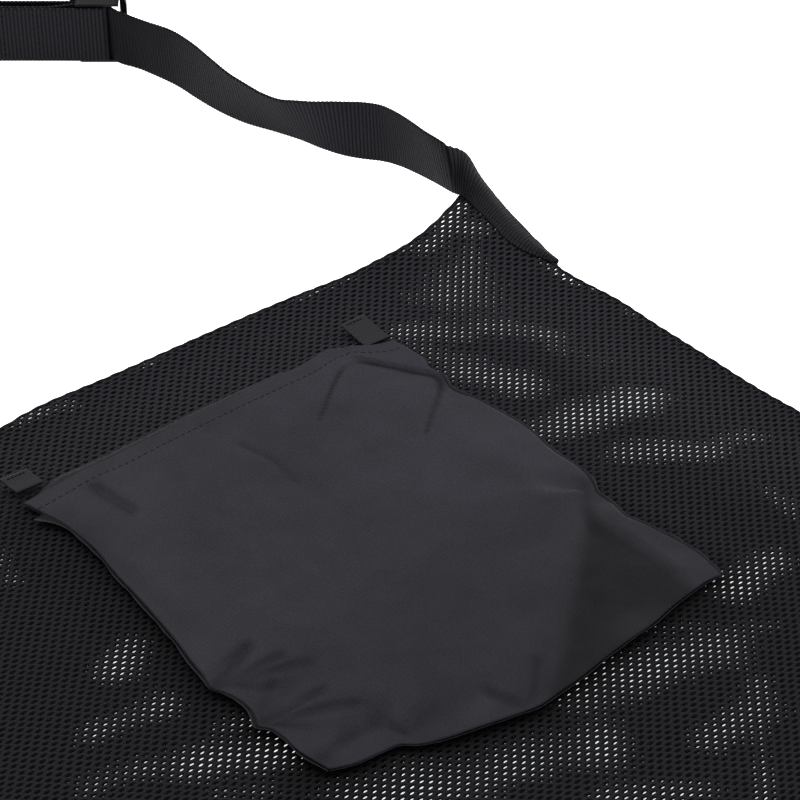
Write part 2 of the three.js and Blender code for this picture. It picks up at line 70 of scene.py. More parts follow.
# ---- Sizes, in mm, as in the CAD ----------------------------------------------------------------

HALF, MOUTH, BOTTOM = 210.0, -280.0, 280.0
CASING, CASING_H = 22.0, 4.2
WIDTH, THICK = 30.0, 1.3
SLIDER_AT = np.array([-417.4, 248.5, 0.0])
LEAN, RISE = math.radians(10), 0.9
HEADING = math.radians(48)
ALONG = np.array([math.cos(HEADING), math.sin(HEADING), 0.0])
FACING = np.array([math.sin(HEADING), -math.cos(HEADING), 0.0])
BASE = 1.9
LOOP_FRONT, LOOP_BACK = 5.5, 1.6
POUCH_AT, POUCH_TURN = np.array([-50.8, 85.2]), math.radians(-4.8)
POUCH_W, POUCH_D = 178.0, 198.0
# The pouch's cloth and its tabs: thickness, heights over the floor, and where along the mouth.
CLOTH, FRONT_Z, BACK_Z, EDGE_Z, TAB_Z = 0.35, 11.2, 10.25, 10.75, 10.35
TAB_WIDTH, TAB_PLACE = 12.0, 82.0

# ---- Small tools --------------------------------------------------------------------------------


def smooth(t):
    t = np.clip(t, 0, 1)
    return t * t * (3 - 2 * t)


def unit(a):
    return a / np.maximum(np.linalg.norm(a, axis=-1, keepdims=True), 1e-9)


def catmull(points, step):
    """A centripetal Catmull-Rom line through the points (any extra columns go along), at even steps."""
    p = np.asarray(points, float)
    p = np.vstack([2 * p[0] - p[1], p, 2 * p[-1] - p[-2]])
    out = []
    for i in range(1, len(p) - 2):
        a, b, c, d = p[i - 1], p[i], p[i + 1], p[i + 2]
        t = [0.0]
        for u, v in ((a, b), (b, c), (c, d)):
            t.append(t[-1] + max(np.linalg.norm((v - u)[:3]), 1e-6) ** 0.5)
        for x in np.linspace(t[1], t[2], 24, endpoint=False):
            a1 = (t[1] - x) / (t[1] - t[0]) * a + (x - t[0]) / (t[1] - t[0]) * b
            a2 = (t[2] - x) / (t[2] - t[1]) * b + (x - t[1]) / (t[2] - t[1]) * c
            a3 = (t[3] - x) / (t[3] - t[2]) * c + (x - t[2]) / (t[3] - t[2]) * d
            b1 = (t[2] - x) / (t[2] - t[0]) * a1 + (x - t[0]) / (t[2] - t[0]) * a2
            b2 = (t[3] - x) / (t[3] - t[1]) * a2 + (x - t[1]) / (t[3] - t[1]) * a3
            out.append((t[2] - x) / (t[2] - t[1]) * b1 + (x - t[1]) / (t[2] - t[1]) * b2)
    out = np.array(out + [p[-2]])
    return even(out, step)


def even(line, step):
    s = lengths(line)
    at = np.linspace(0, s[-1], max(2, int(round(s[-1] / step)) + 1))
    return np.stack([np.interp(at, s, line[:, k]) for k in range(line.shape[1])], 1)


def lengths(line):
    return np.concatenate([[0], np.cumsum(np.linalg.norm(np.diff(line[:, :3], axis=0), axis=1))])


def grid_normals(g):
    return unit(np.cross(np.gradient(g, axis=0), np.gradient(g, axis=1)))


def make(name, verts, faces, uv, material, body, replaces=(), painted_light=None):
    """A piece from points in mm, with the weave's own coordinates (mm) in the UV layer 'weave'.

    The last argument is painted light and shade at each point: a factor on the colour, where 1 leaves it
    unchanged."""
    mesh = bpy.data.meshes.new(name)
    mesh.from_pydata((np.asarray(verts) * MM).tolist(), [], faces)
    if uv is not None:
        layer = mesh.uv_layers.new(name="weave")
        loops = np.zeros(len(mesh.loops), np.int32)
        mesh.loops.foreach_get("vertex_index", loops)
        layer.data.foreach_set("uv", np.asarray(uv, np.float32)[loops].ravel())
    # Painted light and shade, one factor per point.
    painted_shading = mesh.attributes.new("painted_light", "FLOAT", "POINT")
    values = np.ones(len(verts)) if painted_light is None else painted_light
    painted_shading.data.foreach_set("value", np.asarray(values, np.float32).ravel())
    mesh.polygons.foreach_set("use_smooth", [True] * len(mesh.polygons))
    mesh.materials.append(material)
    mesh.validate()
    obj = bpy.data.objects.new(name, mesh)
    bpy.context.scene.collection.objects.link(obj)
    if body:
        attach(obj, body)
    if replaces:
        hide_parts(*replaces)
    return obj


def grid_faces(n, m, start=0, turned=False):
    i, j = np.meshgrid(np.arange(n - 1), np.arange(m - 1), indexing="ij")
    a = (start + i * m + j).ravel()
    quads = np.stack([a, a + m, a + m + 1, a + 1], 1)
    return (quads[:, ::-1] if turned else quads).tolist()


def thin_sheet(name, g, uv, material, body, replaces=(), painted_light=None):
    n, m = g.shape[:2]
    points, faces = g.reshape(-1, 3), grid_faces(n, m)
    return make(name, points, faces, uv.reshape(-1, 2), material, body, replaces, painted_light)


def thick_sheet(name, g, uv, thick, material, body, replaces=(), relief=None, painted_light=None):
    """A closed strip about the mid surface g (along, across, 3), its long edges rounded over."""
    n, m = g.shape[:2]
    nrm = grid_normals(g)
    half = np.full((n, m), thick / 2)
    half[:, [0, -1]] *= 0.35
    half[:, [1, -2]] *= 0.8
    if relief is not None:
        half = half + relief
    top, low = g + nrm * half[..., None], g - nrm * half[..., None]
    verts = np.concatenate([top.reshape(-1, 3), low.reshape(-1, 3)])
    k = n * m
    faces = grid_faces(n, m) + grid_faces(n, m, k, True)
    for i in range(n - 1):
        a, b = i * m, i * m + m - 1
        faces.append([a, k + a, k + a + m, a + m])
        faces.append([b, b + m, k + b + m, k + b])
    for j in range(m - 1):
        a, b = j, (n - 1) * m + j
        faces.append([a, a + 1, k + a + 1, k + a])
        faces.append([b, k + b, k + b + 1, b + 1])
    flat_uv = uv.reshape(-1, 2)
    painted_shading = None if painted_light is None else np.concatenate([painted_light.ravel(), painted_light.ravel()])
    return make(name, verts, faces, np.concatenate([flat_uv, flat_uv]), material, body, replaces, painted_shading)


def across_columns(width, inner=22):
    """Distances across a strip, with extra columns near both edges for the selvedge."""
    h = width / 2
    middle = np.linspace(-h + 0.9, h - 0.9, inner)
    return np.concatenate([[-h, -h + 0.12, -h + 0.4], middle, [h - 0.4, h - 0.12, h]])


RIB, RIB_HEIGHT = 1.75, 0.13
# How far apart the rows of the straps' meshes lie.
STEP = 0.35


def webbing(name, g, s, w, body, replaces=(), painted_light=None):
    """Ribbed webbing about the mid surface g, s along and w across in mm."""
    uv = np.stack(np.broadcast_arrays(s[:, None], w[None, :]), -1)
    ridge = np.abs(np.sin(math.pi * s / RIB))[:, None] ** 0.8
    edge = smooth((np.abs(w) - (abs(w[-1]) - 1.2)) / 1.2)[None, :]
    relief = RIB_HEIGHT * (ridge - 0.5) * (1 - 0.4 * edge)
    side = unit(np.gradient(g, axis=1)) * (np.sign(w)[None, :] * edge * (ridge - 1) * 0.3)[..., None]
    return thick_sheet(name, g + side, uv, THICK, M["webbing"], body, replaces, relief, painted_light)


def tube(name, line, radius, material, body, replaces=(), sides=10):
    """A round cord along the line, with rounded ends."""
    line = np.asarray(line, float)
    run = unit(np.gradient(line, axis=0))
    side = np.cross(run[0], [0, 0, 1.0])
    side = unit(side) if np.linalg.norm(side) > 1e-3 else np.array([1.0, 0, 0])
    s, verts, uv = lengths(line), [], []
    r = np.full(len(line), radius)
    r[[0, -1]] *= 0.3
    r[[1, -2]] *= 0.85
    for i, p in enumerate(line):
        side = unit(side - run[i] * (side @ run[i]))
        up = np.cross(run[i], side)
        for k in range(sides):
            a = 2 * math.pi * k / sides
            verts.append(p + r[i] * (side * math.cos(a) + up * math.sin(a)))
            uv.append((s[i], a * radius))
    n = len(line)
    faces = [
        [i * sides + k, i * sides + (k + 1) % sides, (i + 1) * sides + (k + 1) % sides, (i + 1) * sides + k]
        for i in range(n - 1)
        for k in range(sides)
    ]
    faces.append(list(range(sides))[::-1])
    faces.append([(n - 1) * sides + k for k in range(sides)])
    return make(name, verts, faces, uv, material, body, replaces)


# How far a stitch's middle stands proud of the cloth.
PROUD = 0.12


def facing(way, count):
    """The same direction for every point of a line."""
    return np.tile(way, (count, 1))


def stitches(name, line, normals, body, long=2.3, gap=0.9, radius=0.24):
    """Lockstitches along a line: short threads, each with its middle proud and its ends in the cloth."""
    fine = even(np.hstack([line, normals]), 0.1)
    s = lengths(fine)
    verts, faces = [], []
    sides, rings = 5, 5
    for start in np.arange(0.4, s[-1] - long, long + gap):
        base = len(verts)
        stops = np.linspace(0, 1, rings)
        at = [np.array([np.interp(start + long * t, s, fine[:, k]) for k in range(6)]) for t in stops]
        run = unit(at[-1][:3] - at[0][:3])
        for t, a in zip(stops, at):
            nrm = unit(a[3:])
            side = np.cross(run, nrm)
            swell = math.sin(math.pi * (0.12 + 0.76 * t))
            mid = a[:3] + nrm * (PROUD * swell - radius * 0.5)
            for k in range(sides):
                ang = 2 * math.pi * k / sides
                verts.append(mid + radius * swell * (nrm * math.cos(ang) + side * math.sin(ang)))
        for i in range(rings - 1):
            for k in range(sides):
                a, b = base + i * sides + k, base + i * sides + (k + 1) % sides
                faces.append([a, b, b + sides, a + sides])
        faces.append([base + k for k in range(sides)][::-1])
        faces.append([base + (rings - 1) * sides + k for k in range(sides)])
    return make(name, verts, faces, None, M["thread"], body)


def rolling(x, y, scale, seed):
    """Soft noise from -1 to 1 over arrays of x and y in mm."""
    flat = [noise.noise(Vector((a / scale, b / scale, seed))) for a, b in zip(np.ravel(x), np.ravel(y))]
    return np.array(flat).reshape(np.shape(x))


# ---- Materials ----------------------------------------------------------------------------------


class Shader:
    """A short way to write a node tree: sockets and numbers go in, sockets come out."""

    def __init__(self, name, **principled):
        self.mat = bpy.data.materials.new(name)
        self.mat.use_nodes = True
        self.tree = self.mat.node_tree
        self.tree.nodes.clear()
        self.out = self.tree.nodes.new("ShaderNodeOutputMaterial")
        self.bsdf = self.tree.nodes.new("ShaderNodeBsdfPrincipled")
        self.tree.links.new(self.bsdf.outputs[0], self.out.inputs["Surface"])
        for key, value in principled.items():
            self.bsdf.inputs[key.replace("_", " ")].default_value = value

    def put(self, socket, value):
        if hasattr(value, "is_output"):
            self.tree.links.new(value, socket)
        else:
            socket.default_value = value

    def math(self, op, *args):
        node = self.tree.nodes.new("ShaderNodeMath")
        node.operation = op
        for k, a in enumerate(args):
            self.put(node.inputs[k], a)
        return node.outputs[0]

    def weave(self):
        node = self.tree.nodes.new("ShaderNodeUVMap")
        node.uv_map = "weave"
        split = self.tree.nodes.new("ShaderNodeSeparateXYZ")
        self.tree.links.new(node.outputs[0], split.inputs[0])
        return split.outputs[0], split.outputs[1]

    # Painted light and shade: the per-point factor that pieces carry, for multiplying into the colour.
    def painted_light(self):
        node = self.tree.nodes.new("ShaderNodeAttribute")
        node.attribute_name = "painted_light"
        return node.outputs["Fac"]

    def place(self):
        return self.tree.nodes.new("ShaderNodeTexCoord").outputs["Object"]

    def noise(self, vector, scale, detail=3.0):
        node = self.tree.nodes.new("ShaderNodeTexNoise")
        self.put(node.inputs["Vector"], vector)
        node.inputs["Scale"].default_value = scale
        node.inputs["Detail"].default_value = detail
        node.inputs["Roughness"].default_value = 0.55
        return node.outputs["Fac"]

    def vector(self, x, y):
        node = self.tree.nodes.new("ShaderNodeCombineXYZ")
        for k, a in enumerate((x, y, 0.0)):
            self.put(node.inputs[k], a)
        return node.outputs[0]

    def span(self, value, a, b):
        node = self.tree.nodes.new("ShaderNodeMapRange")
        node.interpolation_type = "SMOOTHSTEP"
        for k, x in enumerate((value, a, b, 0.0, 1.0)):
            self.put(node.inputs[k], x)
        return node.outputs[0]

    def blend(self, factor, a, b):
        node = self.tree.nodes.new("ShaderNodeMix")
        node.data_type = "RGBA"
        self.put(node.inputs[0], factor)
        self.put(node.inputs[6], (*a, 1.0) if isinstance(a, tuple) else a)
        self.put(node.inputs[7], (*b, 1.0) if isinstance(b, tuple) else b)
        return node.outputs[2]

    def bump(self, height, distance):
        node = self.tree.nodes.new("ShaderNodeBump")
        node.inputs["Strength"].default_value = 1.0
        node.inputs["Distance"].default_value = distance
        self.put(node.inputs["Height"], height)
        self.put(self.bsdf.inputs["Normal"], node.outputs[0])

    def colour(self, value):
        self.put(self.bsdf.inputs["Base Color"], value)

    def times(self, a, b):
        return self.math("MULTIPLY", a, b)

    def plus(self, a, b):
        return self.math("ADD", a, b)

    def scaled(self, value, factor, extra):
        return self.math("MULTIPLY_ADD", value, factor, extra)

    def cosine(self, value, pitch):
        return self.math("COSINE", self.scaled(value, 2 * math.pi / pitch, 0.0))


CELL = (4.6, 4.4)
HOLE = (0.56, 1.12)
# The knit's long floats: the way across them, and how far apart they lie.
FLOAT_WAY = (0.3038, 0.9528)
FLOAT_PITCH = 1.3975


def net_material(name, tight=1.0):
    """Warp-knit net: staggered oval holes, open to what lies beneath, between rounded yarn loops."""
    m = Shader(name, Roughness=0.8, Specular_IOR_Level=0.07, Sheen_Weight=0.012, Sheen_Roughness=0.4)
    u, v = m.weave()
    wobble = m.noise(m.vector(u, v), 0.35, 2.0)
    u = m.scaled(wobble, 0.5, u)

    def near(shift):
        parts = []
        for value, cell, hole in ((u, CELL[0], HOLE[0]), (v, CELL[1], HOLE[1])):
            turn = m.math("FRACT", m.scaled(value, 1 / cell, shift + 64.0))
            away = m.times(m.math("SUBTRACT", turn, 0.5), cell / (hole * tight))
            parts.append(m.times(away, away))
        return m.plus(*parts)

    r = m.math("MINIMUM", near(0.0), near(0.5))
    alpha = m.span(r, 0.82, 1.12)
    m.put(m.bsdf.inputs["Alpha"], alpha)
    # Yarn: a rounded rim about each hole, and floats that run on from hole to hole between them.
    rim = m.span(r, 0.9, 3.6)
    run = m.plus(m.times(u, FLOAT_WAY[0]), m.times(v, FLOAT_WAY[1]))
    ridge, between = m.span(m.cosine(run, FLOAT_PITCH), 0.35, 1.0), m.span(r, 1.4, 3.2)
    floats = m.times(ridge, between)
    loops = m.times(
        m.cosine(m.plus(u, m.times(v, 0.55)), 1.15),
        m.cosine(m.math("SUBTRACT", v, m.times(u, 0.35)), 1.1),
    )
    fuzz = m.noise(m.vector(u, v), 2.6, 3.0)
    raised = m.scaled(fuzz, 0.25, m.times(floats, 0.5))
    m.bump(m.plus(rim, m.scaled(loops, 0.2, raised)), 0.0004)
    # Colour: painted shade darkens the yarn towards each hole, and painted highlights run along the floats.
    yarn = m.scaled(loops, 0.14, m.scaled(fuzz, 0.45, 0.22))
    rim_shaded_yarn = m.times(rim, yarn)
    # Times the per-point painted light and shade.
    tone = m.times(m.scaled(floats, 0.42, rim_shaded_yarn), m.painted_light())
    m.colour(m.blend(tone, (0.0008, 0.0008, 0.0011), (0.0248, 0.0252, 0.0325)))
    return m.mat


def webbing_material():
    """Ribs across the strap, each a row of fine yarn floats."""
    m = Shader("webbing", Roughness=0.72, Specular_IOR_Level=0.06, Sheen_Weight=0.01, Sheen_Roughness=0.35)
    s, w = m.weave()
    rib = m.math("ABSOLUTE", m.math("SINE", m.times(s, math.pi / RIB)))
    other = m.math("SIGN", m.math("SINE", m.times(s, math.pi / RIB)))
    bent = m.times(other, 1.6)
    float_wave = m.math("COSINE", m.scaled(w, 2 * math.pi / 1.05, bent))
    floats = m.span(float_wave, -0.9, 0.9)
    fuzz = m.noise(m.vector(s, w), 1.6, 3.0)
    raised = m.scaled(floats, 0.6, m.scaled(fuzz, 0.3, 0.3))
    height = m.times(rib, raised)
    m.bump(height, 0.00032)
    # Colour: painted shade in the grooves between the ribs and painted highlights on the floats, with random
    # fuzz, times the per-point painted light and shade.
    tone = m.times(rib, m.scaled(floats, 0.55, m.times(fuzz, 0.7)))
    m.colour(m.blend(m.times(tone, m.painted_light()), (0.0018, 0.0018, 0.0024), (0.0215, 0.0218, 0.0275)))
    return m.mat


def nylon_material():
    """Satin-faced twill: very fine lines, a soft broad gloss and faint cloudiness."""
    m = Shader("nylon", Roughness=0.42, Specular_IOR_Level=0.05, Sheen_Weight=0.01, Sheen_Roughness=0.3)
    u, v = m.weave()
    lines = m.cosine(m.plus(m.times(u, 0.80), m.times(v, 0.60)), 0.85)
    cross = m.cosine(m.math("SUBTRACT", u, v), 1.3)
    cloud = m.noise(m.vector(u, v), 0.045, 4.0)
    fuzz = m.noise(m.vector(u, v), 0.9, 3.0)
    grain = m.scaled(cross, 0.2, m.times(fuzz, 1.2))
    m.bump(m.plus(m.times(lines, 0.5), grain), 0.00006)
    cloudy = m.scaled(cloud, 0.30, m.scaled(fuzz, 0.62, 0.20))
    tone = m.scaled(lines, 0.05, cloudy)
    # The colour is multiplied by the per-point painted light and shade.
    m.colour(m.blend(m.times(tone, m.painted_light()), (0.0006, 0.0006, 0.0008), (0.0272, 0.0258, 0.0335)))
    m.put(m.bsdf.inputs["Roughness"], m.scaled(fuzz, 0.12, 0.40))
    return m.mat


def ribbon_material():
    m = Shader("ribbon", Roughness=0.6, Specular_IOR_Level=0.12, Sheen_Weight=0.03, Sheen_Roughness=0.35)
    s, w = m.weave()
    rib = m.math("ABSOLUTE", m.math("SINE", m.times(s, math.pi / 1.1)))
    fuzz = m.noise(m.vector(s, w), 2.0, 2.0)
    m.bump(m.scaled(fuzz, 0.25, rib), 0.0002)
    # Colour: painted shade in the grooves between the ribs, with random fuzz.
    tone = m.times(rib, m.plus(fuzz, 0.4))
    m.colour(m.blend(tone, (0.0020, 0.0020, 0.0026), (0.0165, 0.0165, 0.0210)))
    return m.mat


def cord_material():
    m = Shader("braided_cord", Roughness=0.75, Specular_IOR_Level=0.1, Sheen_Weight=0.02, Sheen_Roughness=0.4)
    s, a = m.weave()
    one = m.cosine(m.plus(s, a), 0.86)
    two = m.cosine(m.math("SUBTRACT", s, a), 0.86)
    braid = m.math("MAXIMUM", one, two)
    m.bump(braid, 0.0002)
    # Colour: painted shade between the braid's strands.
    m.colour(m.blend(m.span(braid, -0.4, 1.0), (0.002, 0.002, 0.0025), (0.014, 0.014, 0.017)))
    return m.mat


def plastic_material():
    m = Shader("moulded_plastic", Roughness=0.42, Specular_IOR_Level=0.09)
    grain = m.noise(m.place(), 2600.0, 2.0)
    wear = m.noise(m.place(), 160.0, 3.0)
    m.bump(grain, 0.00005)
    m.colour(m.blend(wear, (0.0024, 0.0024, 0.003), (0.0045, 0.0045, 0.0054)))
    m.put(m.bsdf.inputs["Roughness"], m.scaled(wear, 0.25, 0.3))
    return m.mat


def steel_material():
    m = Shader("drawn_wire", Metallic=1.0, Roughness=0.3)
    grain = m.noise(m.place(), 3000.0, 2.0)
    m.colour(m.blend(grain, (0.42, 0.42, 0.43), (0.6, 0.6, 0.61)))
    m.bump(grain, 0.00002)
    return m.mat


def thread_material():
    m = Shader("sewing_thread", Roughness=0.6, Specular_IOR_Level=0.08, Sheen_Weight=0.02,
               Sheen_Roughness=0.4)
    twist = m.noise(m.place(), 5200.0, 2.0)
    m.bump(twist, 0.00005)
    m.colour(m.blend(twist, (0.0012, 0.0012, 0.0014), (0.0035, 0.0035, 0.004)))
    return m.mat


M = {
    "net": net_material("net"),
    "hem_net": net_material("hem_net", 0.62),
    "webbing": webbing_material(),
    "nylon": nylon_material(),
    "ribbon": ribbon_material(),
    "cord": cord_material(),
    "plastic": plastic_material(),
    "steel": steel_material(),
    "thread": thread_material(),
}

# ---- The bag's heights --------------------------------------------------------------------------

# Where both layers' holes line up and the floor shows through, as seen from the camera's place at
# rest: lines from x, y to x, y, half width, strength.
OPEN_PATCHES = [
    (-146, 191, -126, 208, 5, 0.5), (-130, 187, -109, 198, 6, 0.5), (-107, 190, -85, 202, 7, 0.8),
    (-126, 214, -107, 234, 5, 0.5), (-95, 228, -82, 238, 5, 0.5), (-59, 183, -51, 223, 8, 1),
    (-54, 224, -50, 234, 5, 0.8), (-26, 198, -9, 223, 7, 0.95), (-13, 224, -6, 244, 5, 0.6),
    (26, 219, 40, 220, 5, 0.5), (61, 166, 57, 186, 7, 1), (66, 84, 80, 144, 9, 1),
    (60, 130, 84, 160, 5, 0.55), (112, 99, 112, 123, 7, 0.8), (103, 134, 147, 90, 3, 0.6),
    (57, -11, 91, 67, 9, 1), (111, 49, 130, 77, 5, 0.85), (-54, -32, -61, -18, 6, 0.9),
    (-32, -56, -26, -30, 6, 0.9),
    (5, -40, 20, -12, 8, 1), (-4, -22, 2, -13, 4, 0.5), (-8, -77, -4, -54, 5, 0.5),
    (22, -45, 30, -34, 4, 0.55),
    (-135, -19, -122, -25, 4, 0.55), (-201, 272, -194, 256, 3, 0.85), (-193, 257, -190, 243, 3, 0.6),
    (-208, 46, -206, 64, 4, 0.6), (-190, 262, -184, 268, 4, 0.6),
]


def lift(x, y):
    return 9 * np.exp(-((x + HALF) ** 2 + (y - BOTTOM) ** 2) / (2 * 38.0**2))


# The bag's left edge, which wanders, and is drawn in where the strap pulls the corner: y, x.
LEFT_EDGE = [
    (-300, -210), (-120, -209.4), (0, -209.6), (34, -209.2), (48, -211.4), (62, -211.6), (85, -209.7),
    (110, -208.6), (135, -207.6), (160, -206.4), (185, -204.3), (208, -200.4), (225, -199.4),
    (238, -197.9), (250, -199), (263, -201.8), (276, -206.7), (282, -209),
]


def left_edge(y):
    ys, xs = np.array(LEFT_EDGE, float).T
    return sum(np.interp(np.asarray(y, float) + d, ys, xs) for d in (-6, -3, 0, 3, 6)) / 5


# The bottom edge, drawn in between the corners: x, and how far it stands inside the plain rectangle.
BOTTOM_EDGE = [
    (-210, 0), (-175, 0.3), (-160, 2.0), (-150, 3.4), (-138, 3.3), (-127, 1.9), (-115, 0.5),
    (-103, 0.9), (-91, 1.9), (-79, 2.3), (-68, 2.8), (-56, 3.3), (-44, 4.2), (-32, 4.7), (-20, 4.7),
    (20, 3.4), (80, 1.2), (210, 0),
]


def bottom_edge(x):
    xs, inward = np.array(BOTTOM_EDGE, float).T
    return BOTTOM - sum(np.interp(np.asarray(x, float) + d, xs, inward) for d in (-5, 0, 5)) / 3


def from_edges(x, y):
    return np.minimum(np.minimum(x - left_edge(y), HALF - x), bottom_edge(x) - y)


def front_height(x, y):
    """The front layer of net: up at the mouth and under the pouch, in soft folds elsewhere."""
    e = from_edges(x, y)
    dome = 0.9 + 8.2 * smooth((e - 1) / 62.0)
    folds = rolling(x + 0.8 * y, y - 0.5 * x, 62, 3.1) * 1.5 + rolling(x, y, 24, 8.3) * 0.5
    under_pouch = smooth((118 - np.abs(x + 50)) / 20) * smooth((108 - np.abs(y - 85)) / 20)
    dome = dome + (folds - 0.7) * smooth(e / 45) * (1 - under_pouch)
    rise = casing_rise(x) + CASING_H * 0.5
    return np.minimum(rise + (dome - rise) * smooth((y - (MOUTH + CASING)) / 45.0), 9.5) + lift(x, y)


def casing_rise(x):
    closed, opened = CASING_H + 0.3, 2 * CASING_H + 0.3
    return closed + (opened - closed) * smooth((HALF - np.abs(x)) / 45.0)


def alignment(x, y):
    """1 where the two layers' holes line up, 0 where they don't."""
    total = np.zeros(np.shape(x))
    for ax, ay, bx, by, wide, strength in OPEN_PATCHES:
        length = math.hypot(bx - ax, by - ay)
        ux, uy = (bx - ax) / length, (by - ay) / length
        along = (x - ax) * ux + (y - ay) * uy
        past = np.maximum(np.maximum(-along, along - length), 0)
        across = (x - ax) * uy - (y - ay) * ux
        spread = np.exp(-((across / (1.7 * wide)) ** 2) - (past / (1.9 * wide)) ** 2)
        total = np.maximum(total, (0.24 + 0.33 * strength) * spread)
    welt = np.exp(-((from_edges(x, y) - 3.5) / 2.5) ** 2) * (0.15 + 0.9 * rolling(x, y, 17, 5.5))
    ripple = rolling(x, y, 19, 1.7) * 0.2
    return np.clip(np.maximum(total, welt) + ripple, 0, 1)


# ---- Straps -------------------------------------------------------------------------------------

STRAP_LOWER = [
    [-214, 279, 8.4, 16], [-225, 280, 7, 15], [-237.5, 281.4, 5.2, 12], [-250, 282, 3.4, 9],
    [-260, 280.9, 1.8, 6], [-268.5, 277.2, 0.7, 5], [-277, 273.3, 0.4, 10], [-288, 270.2, 0.4, 20],
    [-300, 268.2, 0.4, 28], [-313, 264.4, 0.4, 27], [-327, 259.6, 0.4, 19], [-342, 257.4, 0.4, 11],
    [-357, 257.2, 0.4, 6], [-373, 257.9, 0.4, 6], [-388, 256.5, 0.4, 9.5], [-398, 254.6, 0.5, 10],
    [-404.8, 251.2, 1.1, 8],
]
# How the running strap comes in over the slider's end bar: along, out of the face, lean.
ENTRY = [(8.4, 6.3, 7), (6.3, 3.5, 5), (4.4, 0.9, 8), (2.2, 0, 10), (0, 0, 10)]
STRAP_UPPER_LOOP = [
    [-522, 121, 0.4, 2], [-537, 84, 0.4, 4], [-541, 44, 0.4, 6], [-533, 2, 0.4, 8], [-514, -40, 0.4, 8],
    [-486, -82, 0.4, 6], [-450, -121, 0.4, 4], [-410, -155, 0.4, 2], [-368, -183, 0.4, -4],
    [-330, -203, 0.4, -18], [-295, -215, 0.5, -42], [-262, -221, 1.4, -70], [-236, -222, 3.1, -86],
    [-214, -222, 3.6, -90],
]
# The strap's end, from the crease at the bag's corner to its tip on the seam: the free edge on the
# net, the fold along the outside, and the edge that is tucked beneath.
WRAP = [
    [(-209.3, 277.2, 9.6), (-211.0, 276.0, 22.5), (-211.9, 273.9, 33.8)],
    [(-204.5, 277.0, 10.3), (-209.5, 281.5, 22.0), (-212.6, 285.5, 24.5)],
    [(-200.5, 276.4, 9.8), (-205.0, 284.5, 15.5), (-209.5, 290.4, 13.5)],
    [(-194.0, 274.9, 9.3), (-198.5, 283.5, 11.8), (-202.0, 289.8, 9.6)],
    [(-187.5, 274.0, 8.6), (-190.0, 281.5, 10.2), (-193.0, 287.8, 7.6)],
    [(-180.0, 272.6, 7.6), (-181.5, 279.5, 8.6), (-184.0, 286.0, 6.2)],
    [(-170.5, 271.0, 6.2), (-172.5, 277.5, 7.2), (-174.5, 284.4, 4.8)],
    [(-160.5, 272.0, 5.0), (-162.0, 276.8, 6.0), (-164.0, 282.0, 3.9)],
    [(-153.8, 274.2, 4.3), (-155.0, 277.2, 5.2), (-156.2, 280.2, 3.5)],
    [(-148.6, 276.0, 3.8), (-149.2, 277.6, 4.6), (-149.8, 279.4, 3.3)],
]


def slider_point(s, n, h):
    """A point by the slider, which leans forward: along the strap, out of its face and up it."""
    forward = n * math.cos(LEAN) + h * math.sin(LEAN)
    return [*(SLIDER_AT + s * ALONG + forward * FACING)[:2], h * math.cos(LEAN) - n * math.sin(LEAN) + RISE]


def standing(route):
    """Mid surface of webbing on edge along a lower line of x, y, z and lean to the left in degrees."""
    line = catmull(route, STEP)
    run = unit(np.gradient(line[:, :3], axis=0))
    left = unit(np.stack([-run[:, 1], run[:, 0], 0 * run[:, 0]], 1))
    tilt = np.radians(line[:, 3])[:, None]
    up = UP * np.cos(tilt) + left * np.sin(tilt)
    w = across_columns(WIDTH)
    g = line[:, None, :3] + up[:, None, :] * (w + WIDTH / 2)[None, :, None]
    return g, lengths(line), w


def wrap_grid():
    """Mid surface of the folded end, as wide as the strap, tucked under the seam past its fold."""
    rows = catmull(np.array([[*a, *b, *c] for a, b, c in WRAP], float), STEP)
    w = across_columns(WIDTH)
    g = np.zeros((len(rows), len(w), 3))
    for i, row in enumerate(rows):
        free, mid, fold = row[:3], row[3:6], row[6:9]
        t = i / (len(rows) - 1)
        under_z = np.maximum(lift(fold[0], BOTTOM) - 1.6, 0.9)
        turned = smooth(np.array(t / 0.2))
        drop = fold + np.array([0, 1.0, -(fold[2] - under_z) * 0.5]) * turned
        below = np.array([fold[0], min(fold[1] - 2, BOTTOM + 1.8), under_z])
        below = fold + (below - fold) * turned
        tuck = np.array([free[0] * 0.5 + fold[0] * 0.5, free[1] + 4.0, max(under_z, 0.9)])
        tuck = below + (tuck - below) * turned
        line = np.array([free, mid, fold, drop, below, tuck])
        line = line[[True] + [np.linalg.norm(line[k] - line[k - 1]) > 0.05 for k in range(1, len(line))]]
        smooth_line = catmull(line, 0.5)
        s = lengths(smooth_line)
        at = (w + WIDTH / 2) * min(1.0, s[-1] / WIDTH)
        g[i] = np.stack([np.interp(at, s, smooth_line[:, k]) for k in range(3)], 1)
    return g


